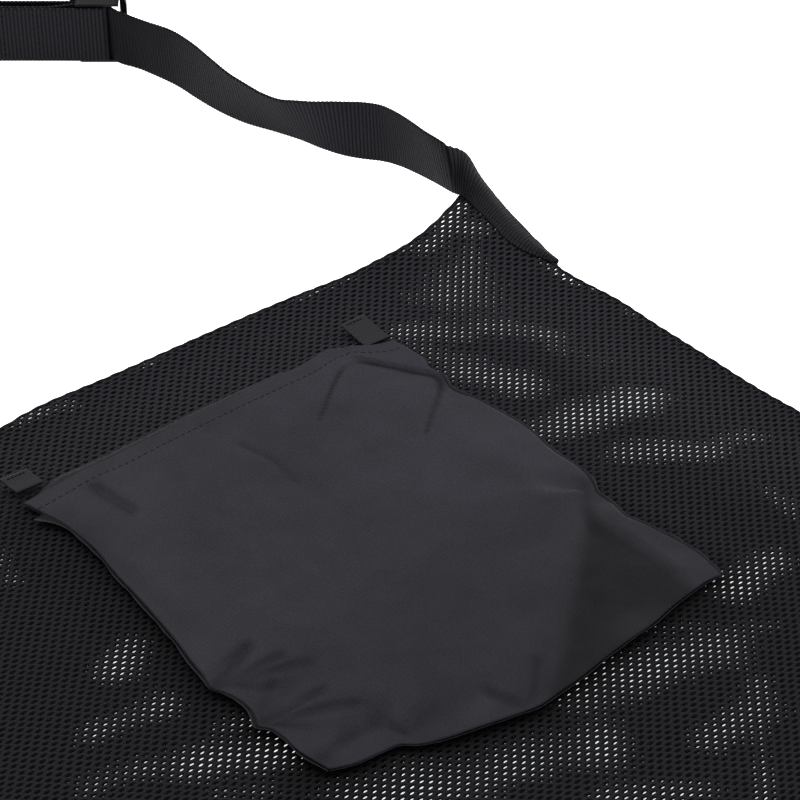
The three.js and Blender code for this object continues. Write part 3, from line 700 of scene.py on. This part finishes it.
def lower_strap():
    tail = [(s, 0, 10) for s in (-20, -50, -85, -125)]
    straight = [[*slider_point(s, n, BASE), tilt] for s, n, tilt in ENTRY + tail]
    run, _, w = standing(STRAP_LOWER[1:] + straight)
    end = wrap_grid()
    # One piece of webbing: the folded end runs on into the standing strap over a short stretch.
    end = end[::-1]
    join = 30
    a, b = end[-1], run[0]
    t = np.linspace(0, 1, join)[1:-1]
    calm = np.linspace(1.0, 0.25, len(w))[:, None]
    d0, d1 = (end[-1] - end[-6]) * 5.0 * calm, (run[5] - run[0]) * 5.0
    bridge = np.array([
        (2 * q**3 - 3 * q**2 + 1) * a + (q**3 - 2 * q**2 + q) * d0
        + (-2 * q**3 + 3 * q**2) * b + (q**3 - q**2) * d1
        for q in t
    ])
    g = np.concatenate([end, bridge, run])
    s = lengths(g.mean(axis=1))
    # Painted light on the ribs: a painted highlight along the middle stretch of the strap, and painted shade
    # darkest by the slider and on the tail past it.
    x = g[..., 0]
    painted_shading = 0.42 + 0.62 * smooth((x + 405) / 60) + 0.12 * smooth((x + 330) / 30) * smooth((-250 - x) / 20)
    strap = webbing("shoulder_strap_lower", g, s, w, "bag", ("strap_lower", "strap_corner_wrap"), painted_light=painted_shading)


def upper_strap():
    straight = []
    for i, s in enumerate((-48.3, -70, -100, -135)):
        h = BASE + (0.5 - BASE) * float(smooth(np.array(i / 2)))
        straight.append([*slider_point(s, LOOP_FRONT, h), 10 - 8 * float(smooth(np.array((i - 1) / 4)))])
    g, s, w = standing(straight + STRAP_UPPER_LOOP)
    strap = webbing("shoulder_strap_upper", g, s, w, None, ("strap_upper",))
    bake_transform(strap)


lower_strap()
upper_strap()


def slider_parts():
    """The tail's folded end and the sewn loop round the slider's centre bar."""
    w = across_columns(WIDTH)
    s = np.arange(0, 22.01, STEP)
    g = np.array([[slider_point(-125 + a, -THICK - 0.3, BASE + WIDTH / 2 + b) for b in w] for a in s])
    webbing("strap_tail_fold", g, s, w, "bag", ("strap_tail_hem",))
    middle, radius = (LOOP_FRONT + LOOP_BACK) / 2, (LOOP_FRONT - LOOP_BACK) / 2
    profile = [(-48.0, LOOP_FRONT), (-24.0, LOOP_FRONT), (1.8, LOOP_FRONT)]
    for a in np.linspace(0.3, math.pi - 0.3, 7):
        profile.append((1.8 + radius * math.sin(a), middle + radius * math.cos(a)))
    under = LOOP_FRONT - THICK - 0.3
    profile += [(1.8, LOOP_BACK), (-9.0, LOOP_BACK), (-22.0, under), (-44.0, under)]
    line = catmull([[a, b, 0.0] for a, b in profile], STEP)
    g = np.array([[slider_point(p[0], p[1], BASE + WIDTH / 2 + b) for b in w] for p in line])
    webbing("slider_webbing_loop", g, lengths(line), w, "slider", ("slider_loop",))
    rows = (
        ("loop_stitch_row_1", -27.0, LOOP_FRONT, "slider"),
        ("loop_stitch_row_2", -43.0, LOOP_FRONT, "slider"),
        ("tail_stitch_row", -107.0, 0.0, "bag"),
    )
    heights = BASE + np.linspace(1.5, 28.5, 30)
    for name, s, out, body in rows:
        row = np.array([slider_point(s, out + THICK / 2 + 0.05, z) for z in heights])
        stitches(name, row, facing(FACING, len(row)), body, radius=0.3)


slider_parts()


def mouth_patch():
    """The upper strap's end, laid on the bag and sewn down."""
    w = across_columns(WIDTH)
    s = np.arange(0, 60.9, STEP)
    x = -213.2 + s
    gx, gy = np.meshgrid(x, -237.0 + w, indexing="ij")
    z = front_height(np.maximum(gx, -HALF + 1), gy) + 1.1
    z = np.maximum(z, 3.6)
    webbing("strap_mouth_end", np.stack([gx, gy, z], -1), s, w, "bag", ("strap_mouth_patch",))
    near, far = -250, -224
    for k, (start, end) in enumerate(((near, near), (far, far), (near, far), (far, near))):
        t = np.linspace(0, 1, 40)
        px, py = -205 + 49 * t, start + (end - start) * t
        pz = np.maximum(front_height(px, py) + 1.1, 3.6) + 0.72
        row = np.stack([px, py, pz], 1)
        stitches(f"mouth_box_stitch_{k + 1}", row, facing(UP, len(row)), "bag", radius=0.3)


mouth_patch()


def wrap_stitches():
    """A row of stitches that holds the folded end over the seam."""
    g = wrap_grid()
    nrm = grid_normals(g)
    nrm = np.where(nrm[..., 2:3] < 0, -nrm, nrm)
    rows = slice(int(len(g) * 0.3), int(len(g) * 0.95))
    col = 5
    line = g[rows, col] + nrm[rows, col] * (THICK / 2 + 0.05)
    stitches("corner_stitch_row", line, nrm[rows, col], "bag", radius=0.25)


wrap_stitches()

# ---- Pouch outline ------------------------------------------------------------------------------

# Outline of the front of the pouch in its own frame: p from the mouth to the bottom, q along the mouth.
LEFT_SIDE = [
    (5, -89.6), (12, -87.7), (24, -84.6), (45, -84), (60, -86), (83, -88), (108, -91), (122, -93.4),
    (133, -95), (137.5, -96.2), (142, -93.8), (148, -92), (155, -91.8), (161, -93.6), (164, -95.3),
    (168, -92.4), (175, -91.4), (183, -91.8), (191, -90.6), (198, -89),
]
RIGHT_SIDE = [
    (2.2, 86.3), (5.5, 86.9), (13, 87.6), (20, 88), (26, 85.8), (32, 87.6), (41.5, 84.8), (53, 88.0),
    (70, 90.5), (80, 91.5), (100, 89.7), (111, 90.6), (120, 89.8), (126.5, 87.4), (129, 86), (135, 86),
    (142, 85.5), (147.5, 84.6), (155, 87), (163, 88.6), (170, 90), (180, 91), (189, 90.4), (196.5, 89.2),
]
BOTTOM_SIDE = [
    (198, -89), (200.6, -80), (201.2, -70), (201.8, -62), (205.5, -57), (208.5, -49), (211, -35),
    (213.6, -20), (214.6, -10), (213.2, -1), (211.6, 9), (209, 20), (205.6, 36), (203.4, 50), (200, 62),
    (197.6, 73), (196, 83), (196.5, 89.2),
]
MOUTH_SIDE = [
    (5, -89.6), (4.4, -73), (4.4, -55), (2.6, -31), (0.4, -4), (-1, 18), (-2.4, 43), (-5.5, 61),
    (-1.5, 69.5), (1.3, 78), (2.2, 86.3),
]
# Where the cloth is gathered: p, q, and the way its folds run, in degrees in the pouch's frame.
PINCHES = [
    (137.5, -96, 75, 30, 2.6), (164, -95, 70, 28, 2.4), (128.5, 87, -100, 30, 2.8), (203, -60, 150, 26, 1.6),
    (40, 87, -70, 16, 1.0), (24, -86, 60, 18, 1.0),
]


def pouch_world(p, q, z):
    c, s = math.cos(POUCH_TURN), math.sin(POUCH_TURN)
    p = np.asarray(p, float) - POUCH_D / 2
    x, y = POUCH_AT[0] + p * c - q * s, POUCH_AT[1] + p * s + q * c
    return np.stack([x, y, np.broadcast_to(z, np.shape(p))], -1)


def side_line(points, count):
    line = catmull([[a, b, 0.0] for a, b in points], 0.5)
    s = lengths(line)
    at = np.linspace(0, s[-1], count)
    return np.stack([np.interp(at, s, line[:, k]) for k in range(2)], 1)


# ---- Net panels, seams and casings --------------------------------------------------------------


def panel_axes(step):
    across = np.linspace(0, 1, int(2 * HALF / step) + 1)
    down = np.linspace(0, 1, int((BOTTOM - MOUTH - CASING) / step) + 1)
    u, v = np.meshgrid(across, down, indexing="ij")
    near = MOUTH + CASING + 0.3
    gy = near + (bottom_edge(HALF * (2 * u - 1)) - 0.6 - near) * v
    left = left_edge(gy) + 0.7
    return left + (HALF - 0.7 - left) * u, gy


def net_painted_shade(x, y):
    """The net's tone, lighter towards the bottom seam, with a painted shadow close along the pouch's edges.
    """
    painted_light = 1.12 - 0.42 * smooth(((x + 120) * 0.74 - (y - 165) * 0.67 + 80) / 230)
    # Painted shadow along the pouch's left, bottom and right sides, deepest at the edge.
    for side, reach, depth in ((LEFT_SIDE, 13.0, 0.75), (BOTTOM_SIDE, 11.0, 0.85), (RIGHT_SIDE, 4.5, 0.5)):
        line = side_line(side, 90)
        line = pouch_world(line[:, 0], line[:, 1], 0.0)
        far = np.min(np.hypot(x[..., None] - line[:, 0], y[..., None] - line[:, 1]), axis=-1)
        painted_light = painted_light * (1 - depth * np.exp(-((far / reach) ** 1.3)))
    return painted_light


# How far, in millimetres of knit, the front layer's holes are laid off the back one's.
KNIT_OFFSET = np.array([1.45, 0.0])


def net_panels():
    x, y = panel_axes(2.6)
    edge = smooth(from_edges(x, y) / 4.0)
    back_z = 0.35 + lift(x, y) + 0.25 * rolling(x, y, 40, 2.2) * edge + 0.25 * edge
    laid, uv = np.stack([x, y, back_z], -1), np.stack([x, y], -1)
    back = thin_sheet("net_back_panel", laid, uv, M["net"], "bag", ("back_mesh_panel",))
    z = np.maximum(front_height(x, y), back_z + 0.5)
    # The front layer's knit is laid off the back one's, less so in the open patches. What lies over what
    # is worked out along the lines of sight from the camera's place at rest, so it is right from there only.
    reach = (z - back_z) / (EYE[2] - z)
    seen = np.stack([x + (x - EYE[0]) * reach, y + (y - EYE[1]) * reach], -1)
    apart = 1 - alignment(x, y)
    uv = seen + apart[..., None] * KNIT_OFFSET
    raised, painted_light = np.stack([x, y, z], -1), net_painted_shade(x, y)
    front = thin_sheet("net_front_panel", raised, uv, M["net"], "bag", ("front_mesh_panel",), painted_light)


net_panels()


def seams():
    """The sewn edges: the two layers rolled together into a thin welt, with its stitches."""
    y = np.arange(MOUTH + CASING + 1, BOTTOM - 0.5, 2.0)
    x = np.arange(-HALF + 1.5, HALF - 1, 2.0)
    lines = {
        "seam_welt_left": (left_edge(y) + 0.6, y, ("side_seam_left",), (1, 0)),
        "seam_welt_right": (np.full(len(y), HALF - 0.6), y, ("side_seam_right",), (-1, 0)),
        "seam_welt_bottom": (x, bottom_edge(x) - 0.5, ("bottom_seam",), (0, -1)),
    }
    for name, (px, py, nodes, inward) in lines.items():
        wave = 0.25 * np.sin(px * 0.9 + py * 0.8)
        z = 0.75 + lift(px, py)
        line = np.stack([px + wave * abs(inward[0]), py + wave * abs(inward[1]), z], 1)
        tube(name, line, 0.62, M["cord"], "bag", nodes, sides=8)
        row = line + np.array([inward[0] * 3.2, inward[1] * 3.2, 0])
        row[:, 2] = front_height(row[:, 0], row[:, 1]) + 0.15
        stitches(name.replace("welt", "stitches"), row, facing(UP, len(row)), "bag",
                 long=2.6, gap=0.8, radius=0.22)


seams()


def casings():
    """Hems at the mouth, each a flat tube of doubled net, gathered a little on the drawcord."""
    def casing(name, x0, x1, rise, node):
        n, around = int((x1 - x0) / 1.6), 36
        x = np.linspace(x0, x1, n)
        verts, uv = [], []
        for i, px in enumerate(x):
            gather = 0.35 * math.sin(px * 0.62) + 0.2 * math.sin(px * 1.37 + 1)
            for k in range(around):
                a = 2 * math.pi * k / around
                c, s = math.cos(a), math.sin(a)
                y = MOUTH + CASING / 2 + (CASING / 2 - 0.3) * math.copysign(abs(c) ** 0.55, c)
                h = (CASING_H / 2 - 0.3) * math.copysign(abs(s) ** 0.8, s) * (1 - 0.12 * abs(gather))
                verts.append((px, y, rise(px) + CASING_H / 2 + h + 0.12 * gather))
                uv.append((px * 1.06, a * 7.4))
        faces = []
        for i in range(n - 1):
            a, b = i * around, (i + 1) * around
            faces += [[a + k, b + k, b + (k + 1) % around, a + (k + 1) % around] for k in range(around)]
        make(name, verts, faces, uv, M["hem_net"], "bag", (node,))
        row = MOUTH + CASING - 2.4
        line = np.array([[px, row, rise(px) + CASING_H - 0.75] for px in np.arange(x0 + 1, x1 - 1, 1.5)])
        stitches(f"{name}_stitches", line, facing(UP, len(line)), "bag", radius=0.25)

    end, split = HALF - 8, 14
    casing("mouth_hem_back", -end, end, lambda x: 0.1, "mouth_casing_back")
    casing("mouth_hem_front_left", -end, -split, lambda x: float(casing_rise(x)), "mouth_casing_front_left")
    casing("mouth_hem_front_right", split, end, lambda x: float(casing_rise(x)), "mouth_casing_front_right")


casings()


def drawcord():
    y, end, middle, top = MOUTH + CASING / 2, HALF - 8, CASING_H / 2, 15.3

    def half(side):
        back = [[side * x, y, middle] for x in (0, 60, 140, end - 12, end + 0.5, end + 1.5)]
        turn = [[side * (end + 3.8), y, CASING_H + middle / 2]]
        front = [[side * x, y, float(casing_rise(min(x, end))) + middle]
                 for x in (end + 1.5, end + 0.5, end - 8, end - 16, end - 24, end - 32, 150, 90, 40, 20)]
        out = [[side * 10, y + 0.5, top - 4.1], [side * 4.2, y + 5, top - 2.4]]
        out += [[side * 2.6, y + 12, top - 0.8]]
        out += [[side * 2.6, along, top] for along in (y + 20, -225, -207.5)]
        return back + turn + front + out

    line = catmull(half(-1)[::-1] + half(1)[1:], 1.4)
    tube("drawcord_braid", line, 1.1, M["cord"], "bag", ("drawcord",), sides=12)
    # An overhand knot that holds both ends.
    t = np.linspace(0, 2 * math.pi, 90)
    across, along = np.sin(t) + 2 * np.sin(2 * t), np.cos(t) - 2 * np.cos(2 * t)
    knot = np.stack([1.15 * across, -203 + 1.15 * along, top - 1.3 * np.sin(3 * t)], 1)
    tube("drawcord_knot_braid", knot, 1.15, M["cord"], "bag", ("drawcord_knot",), sides=12)


drawcord()

# ---- Pouch --------------------------------------------------------------------------------------

def pouch_sheet(n, m):
    """Flat positions (p, q) of the pouch's front: a patch between its four edges."""
    left, right = side_line(LEFT_SIDE, n), side_line(RIGHT_SIDE, n)
    mouth, bottom = side_line(MOUTH_SIDE, m), side_line(BOTTOM_SIDE, m)
    u, v = np.linspace(0, 1, n)[:, None, None], np.linspace(0, 1, m)[None, :, None]
    ruled = (1 - v) * left[:, None] + v * right[:, None] + (1 - u) * mouth[None] + u * bottom[None]
    near = (1 - u) * (1 - v) * mouth[0] + (1 - u) * v * mouth[-1]
    return ruled - (near + u * (1 - v) * bottom[0] + u * v * bottom[-1])


def spot(p, q, at_p, at_q, long, wide, turn=0.0):
    """1 in the middle of a soft oval, 0 away from it; turn in degrees from the p axis."""
    t = math.radians(turn)
    along = (p - at_p) * math.cos(t) + (q - at_q) * math.sin(t)
    across = (q - at_q) * math.cos(t) - (p - at_p) * math.sin(t)
    return np.exp(-((along / long) ** 2) - (across / wide) ** 2)


def stroke(p, q, a, b, wide, soft=6.0):
    """1 along the line from a to b, fading at its ends; and how far to its left a point lies."""
    length = math.hypot(b[0] - a[0], b[1] - a[1])
    ux, uy = (b[0] - a[0]) / length, (b[1] - a[1]) / length
    along = (p - a[0]) * ux + (q - a[1]) * uy
    left = (q - a[1]) * ux - (p - a[0]) * uy
    ends = smooth((along + soft / 2) / soft) * smooth((length - along + soft / 2) / soft)
    return ends * np.exp(-((left / wide) ** 2)), left * ends


# Creases in the front of the pouch: from p, q to p, q, half width, depth.
CREASES = [
    ((14, -65), (39, -62), 2.6, 1.2), ((26, -6), (44, -1), 2.0, 0.9),
    ((44, -1), (62, -3), 2.0, 0.7), ((120, 86), (146, 70), 3.0, 1.3),
    ((138, -97), (128, -72), 2.4, 1.4), ((138, -97), (142, -66), 2.6, 1.2),
    ((138, -97), (152, -60), 3.0, 0.9), ((163, -96), (166, -66), 2.4, 1.2),
    ((163, -96), (180, -62), 2.8, 1.0), ((163, -96), (150, -78), 2.2, 0.8),
    ((192, -90), (190, -62), 2.6, 0.7), ((213, -14), (198, -22), 2.4, 1.2),
    ((213, -12), (196, 4), 2.8, 1.1), ((30, 36), (62, 30), 5.0, 0.4),
]
# The turned-up end of the front hem: the line it folds along.
FLAP = ((5, 63.5), (31.5, 87))


def facet(p, q):
    """1 on the dark side of the fold that runs from the right-hand gather to the bottom."""
    beyond = (p - 128) * 0.729 + (q - 82) * 0.684
    return smooth((beyond + 2) / 9.0) * smooth((80 - q) / 8.0) * smooth((p - 120) / 14.0)


def pouch_height(p, q, inside):
    """The front's height over the net: slack and nearly flat, drawn into folds at the pinches."""
    z = FRONT_Z + 3.6 * smooth(inside / 30.0)
    z = z + 0.9 * rolling(p, q, 70, 4.4) * smooth(inside / 25)
    z = z + 0.4 * rolling(p + q, q - p, 26, 6.1) * smooth(inside / 18)
    for pp, pq, way, reach, tall in PINCHES:
        dp, dq = p - pp, q - pq
        far = np.hypot(dp, dq)
        angle = np.degrees(np.arctan2(dq, dp)) - way
        angle = (angle + 180) % 360 - 180
        fan = np.cos(np.radians(angle * 4.2)) * np.exp(-((angle / 62.0) ** 2))
        z = z + tall * fan * smooth(far / 7.0) * np.exp(-far / reach)
        z = z - 1.5 * np.exp(-((far / 7.0) ** 2))
    for a, b, wide, deep in CREASES:
        line, left = stroke(p, q, a, b, wide)
        z = z - deep * line * (1 + 0.6 * left / wide) * smooth(inside / 5)
    z = z - 1.9 * facet(p, q) * smooth(inside / 12)
    _, left = stroke(p, q, *FLAP, 1.0, 10.0)
    z = z + 1.3 * smooth(left / 1.0)
    return np.maximum(z, 10.9)


def pouch_shade_and_highlight(p, q):
    """Painted light and shade on the satin: lighter at the upper right, painted shade in the creases and on
    the turned facet, painted highlights on some folds.
    """
    # A broad painted light: lighter at the upper right, darker towards the bottom.
    painted_light = 1.02 + 0.19 * smooth((q - 5) / 45) * smooth((140 - p) / 50) - 0.16 * smooth((p - 95) / 90)
    # Painted shade on the turned facet.
    painted_light = painted_light * (1 - 0.66 * facet(p, q))
    # Painted shade in the creases, deeper on one side.
    for a, b, wide, deep in CREASES:
        line, left = stroke(p, q, a, b, wide)
        painted_light = painted_light * (1 - 0.30 * deep * line * (1 + 0.5 * np.clip(left / wide, -1, 1)))
    # A painted shadow under the turned-up end of the front hem.
    line, left = stroke(p, q, *FLAP, 1.7, 8.0)
    shadow = np.exp(-(((left + 1.6) / 1.6) ** 2)) * (line > 0.0) * smooth((p - 6) / 6) * (left < 0.2)
    painted_light = painted_light * (1 - 0.85 * shadow)
    # Painted shade in folds where a spot is taken off, painted highlights on folds where one is added.
    painted_light = painted_light - 0.16 * spot(p, q, 8, -8, 8, 4) - 0.10 * spot(p, q, 60, 1, 50, 4)
    painted_light = painted_light + 0.14 * spot(p, q, 14, -74, 12, 7) - 0.30 * spot(p, q, 62, -83, 45, 5)
    painted_light = painted_light - 0.22 * spot(p, q, 104, 66, 16, 8) + 0.35 * spot(p, q, 199, 47, 8, 10)
    painted_light = painted_light + 0.30 * spot(p, q, 191, -57, 5, 16, 14) + 0.34 * spot(p, q, 203, -24, 4.5, 14, 18)
    painted_light = painted_light + 0.25 * spot(p, q, 138, 82, 12, 4, 25) - 0.35 * spot(p, q, 192, -88, 8, 6)
    # Soft random variation in tone.
    painted_light = painted_light + 0.16 * rolling(p, q, 34, 2.9) + 0.10 * rolling(p * 1.6 - q, q * 1.6 + p, 15, 7.7)
    return np.clip(painted_light, 0.05, 1.5)


def pouch_cloth(name, g, uv, node, painted_light, thick=CLOTH):
    return thick_sheet(name, g, uv, thick, M["nylon"], "pouch", (node,), painted_light=painted_light)


def pouch():
    n, m = 150, 140
    pq = pouch_sheet(n, m)
    p, q = pq[..., 0], pq[..., 1]
    left, right = side_line(LEFT_SIDE, 200), side_line(RIGHT_SIDE, 200)
    mouth, bottom = side_line(MOUTH_SIDE, 200), side_line(BOTTOM_SIDE, 200)
    q0, q1 = np.interp(p, left[:, 0], left[:, 1]), np.interp(p, right[:, 0], right[:, 1])
    p1 = np.interp(q, bottom[:, 1], bottom[:, 0])
    inside = np.maximum(np.minimum(np.minimum(q - q0, q1 - q), p1 - p), 0)
    g = pouch_world(p, q, pouch_height(p, q, inside))
    uv = np.stack([p, q], -1)
    hem = 9
    painted_light = pouch_shade_and_highlight(p, q)
    # Painted shade along the first rows of the front, by the lip.
    painted_light[:5] *= 0.93
    front = pouch_cloth("pouch_front_cloth", g, uv, "pouch_front_panel", painted_light)
    # The front hem is folded under: a second layer along the lip, and its row of stitches.
    lip = g[:hem].copy()
    lip[..., 2] -= 0.55
    lip[0, :, 2] += 0.3
    # The folded layer is painted darker, as shade under the lip.
    pouch_cloth("pouch_front_fold", lip, uv[:hem], "pouch_front_hem", painted_light[:hem] * 0.6)
    nrm = grid_normals(g)
    nrm = np.where(nrm[..., 2:3] < 0, -nrm, nrm)
    row = 5
    sewn = g[row] + nrm[row] * PROUD
    stitches("pouch_front_stitches", sewn, nrm[row], "pouch", long=2.9, gap=0.12, radius=0.3)
    # The back: flat on the net, its lip standing past the front one.
    v, u = np.meshgrid(np.linspace(-1, 1, 90), np.linspace(0, 1, 100))
    across = v * 88
    lip_p = np.interp(across, mouth[:, 1], mouth[:, 0])
    lip_p = lip_p - 5.9 * smooth((across + 88) / 22) * smooth((66 - across) / 34) - 0.4
    pb = lip_p + u * (np.interp(across, bottom[:, 1], bottom[:, 0]) - 1.0 - lip_p)
    ql = np.interp(pb, left[:, 0], left[:, 1], left=-88.5) - 0.4
    qr = np.interp(pb, right[:, 0], right[:, 1], left=85) + 0.6
    qb = ql + (qr - ql) * (v + 1) / 2
    zb = BACK_Z + 0.35 * smooth((4 - pb) / 4)
    zb = zb + 0.5 * np.clip(rolling(pb, qb, 16, 9.7), 0, 1) * smooth((np.abs(v) - 0.9) / 0.1)
    gb = pouch_world(pb, qb, zb)
    # The back is painted darker than the front as shade, with soft random variation.
    painted_shading = 0.62 + 0.22 * rolling(pb, qb, 14, 4.9)
    back_uv = np.stack([pb, qb], -1)
    back = pouch_cloth("pouch_back_cloth", gb, back_uv, "pouch_back_panel", painted_shading)
    lip = gb[:5].copy()
    lip[..., 2] += 0.55
    lip[0, :, 2] -= 0.25
    pouch_cloth("pouch_back_fold", lip, back_uv[:5], "pouch_back_hem", painted_shading[:5])
    raw_edges(left, right, bottom)


def raw_edges(left, right, bottom):
    """Seam allowances past the front's edge: a gap painted dark as shadow, and past it the thin edge of the
    back with a painted highlight.
    """
    ways = (
        ("pouch_edge_left", left[10:], "pouch_seam_left", 1),
        ("pouch_edge_right", right[16:], "pouch_seam_right", -1),
        ("pouch_edge_bottom", bottom, "pouch_seam_bottom", 1),
    )
    for name, pts, node, way in ways:
        line = even(np.hstack([pts, np.zeros((len(pts), 1))]), 1.2)
        run = unit(np.gradient(line[:, :2], axis=0))
        out = np.stack([run[:, 1], -run[:, 0]], 1) * way
        wave = rolling(line[:, 0], line[:, 1], 9, 3.3)
        reach = 1.3 + 0.8 * wave
        if name == "pouch_edge_left":
            # Near the mouth the side is open, and the back stands well clear of the front.
            reach = reach + 4.4 * spot(line[:, 0], 0, 13, 0, 8, 1) * (line[:, 0] > 6)
        if name == "pouch_edge_bottom":
            reach = 0.8 + 0.5 * wave
        across = np.array([-2.4, -1.2, -0.4, 0.15, 0.55, 0.82, 1.0])
        w = np.where(across < 0, across, across * np.maximum(reach, 0.4)[:, None])
        pp = line[:, None, 0] + out[:, None, 0] * w
        qq = line[:, None, 1] + out[:, None, 1] * w
        zz = EDGE_Z + np.array([0, 0, 0, -0.05, 0.0, 0.25, 0.5])
        zz = zz + 0.3 * np.abs(wave)[:, None] * (across > 0.6)
        # Painted shadow under the front's edge and in the gap, a painted highlight on the back's edge.
        painted_shading = np.broadcast_to(np.array([0.1, 0.1, 0.08, 0.08, 0.12, 0.9, 1.25]), pp.shape)
        pouch_cloth(name, pouch_world(pp, qq, zz), np.stack([pp, qq], -1), node, painted_shading, thick=0.3)


pouch()


def ribbon_tabs():
    """Ribbed tapes that tie the pouch's mouth to the net, rising a little towards the pouch."""
    for name, sign, long in (("left", -1, 9.5), ("right", 1, 17.5)):
        w = across_columns(TAB_WIDTH, 10)
        s = np.arange(0, long + 2.5, 0.55)
        place = sign * TAB_PLACE
        p, q = np.meshgrid(-4.5 - long + s, place + w, indexing="ij")
        q = q + 0.09 * (-2.0 - p) * (sign > 0)
        z = TAB_Z + 0.55 * smooth((p + 9) / 6)
        g = pouch_world(p, q, z)
        relief = (0.09 * (np.abs(np.sin(math.pi * s / 1.1)) - 0.5))[:, None] * np.ones((1, len(w)))
        tab_uv = np.stack(np.broadcast_arrays(s[:, None], w[None]), -1)
        node = f"ribbon_tab_{name}"
        tab = thick_sheet(f"ribbon_{name}", g, tab_uv, 0.7, M["ribbon"], None, (node,), relief)
        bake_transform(tab)
        sewn = place + np.linspace(-4.6, 4.6, 20) + 0.09 * long * (sign > 0)
        row = np.array([pouch_world(-2.6 - long, t, 10.85) for t in sewn])
        up = facing(UP, len(row))
        bar = stitches(f"ribbon_bartack_{name}", row, up, "bag", long=1.4, gap=0.25, radius=0.3)
        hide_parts(f"tab_bartack_{name}")


ribbon_tabs()

# ---- Hard parts carried over from the CAD -------------------------------------------------------

for node in ("strap_slider", "cord_lock_body", "cord_lock_plunger"):
    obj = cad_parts[node]
    obj.data.materials.clear()
    obj.data.materials.append(M["plastic"])
    bevel = obj.modifiers.new("edges", "BEVEL")
    bevel.width = 0.0005
    bevel.segments = 3
    bevel.limit_method = "ANGLE"
    bevel.angle_limit = math.radians(40)


def lock_spring():
    """The cord lock's spring: a coil of wire that fills the CAD spring's box."""
    low, high = (np.array(c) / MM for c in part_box("cord_lock_spring"))
    wire, turns = 0.28, 3
    radius = (high[1] - low[1]) / 2 - wire
    t = np.linspace(0, 1, 160)
    angle = 2 * math.pi * turns * t
    x = low[0] + wire + (high[0] - low[0] - 2 * wire) * t
    y, z = (low[1] + high[1]) / 2, (low[2] + high[2]) / 2
    line = np.stack([x, y + radius * np.cos(angle), z + radius * np.sin(angle)], 1)
    coil = tube("lock_spring_coil", line, wire, M["steel"], None, ("cord_lock_spring",))
    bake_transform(coil)


lock_spring()

# ---- Floor and light ----------------------------------------------------------------------------

floor_mesh = bpy.data.meshes.new("floor")
floor_mesh.from_pydata([(-6, -6, 0), (6, -6, 0), (6, 6, 0), (-6, 6, 0)], [], [(0, 1, 2, 3)])
paper = Shader("paper", Roughness=0.9)
paper.bsdf.inputs["Base Color"].default_value = (0.93, 0.93, 0.93, 1)
paper.bsdf.inputs["Emission Color"].default_value = (1, 1, 1, 1)
paper.bsdf.inputs["Emission Strength"].default_value = 1.0
floor_mesh.materials.append(paper.mat)
floor = bpy.data.objects.new("floor", floor_mesh)
bpy.context.scene.collection.objects.link(floor)


def area_light(name, position, target, size, power):
    data = bpy.data.lights.new(name, "AREA")
    data.shape = "RECTANGLE"
    data.size, data.size_y = size
    data.energy = power
    lamp = bpy.data.objects.new(name, data)
    lamp.location = position
    lamp.rotation_euler = (Vector(target) - Vector(position)).to_track_quat("-Z", "Y").to_euler()
    bpy.context.scene.collection.objects.link(lamp)


area_light("softbox_left", (-1.3, 0.2, 1.5), (-0.1, 0.1, 0), (1.2, 1.2), 22)
area_light("softbox_back", (0.3, 1.7, 1.3), (-0.1, 0.1, 0), (1.4, 0.9), 18)

world = bpy.data.worlds.new("studio")
world.use_nodes = True
world.node_tree.nodes["Background"].inputs[0].default_value = (1, 1, 1, 1)
world.node_tree.nodes["Background"].inputs[1].default_value = 0.75
bpy.context.scene.world = world
bpy.context.scene.view_settings.view_transform = "Standard"

bpy.context.view_layer.update()
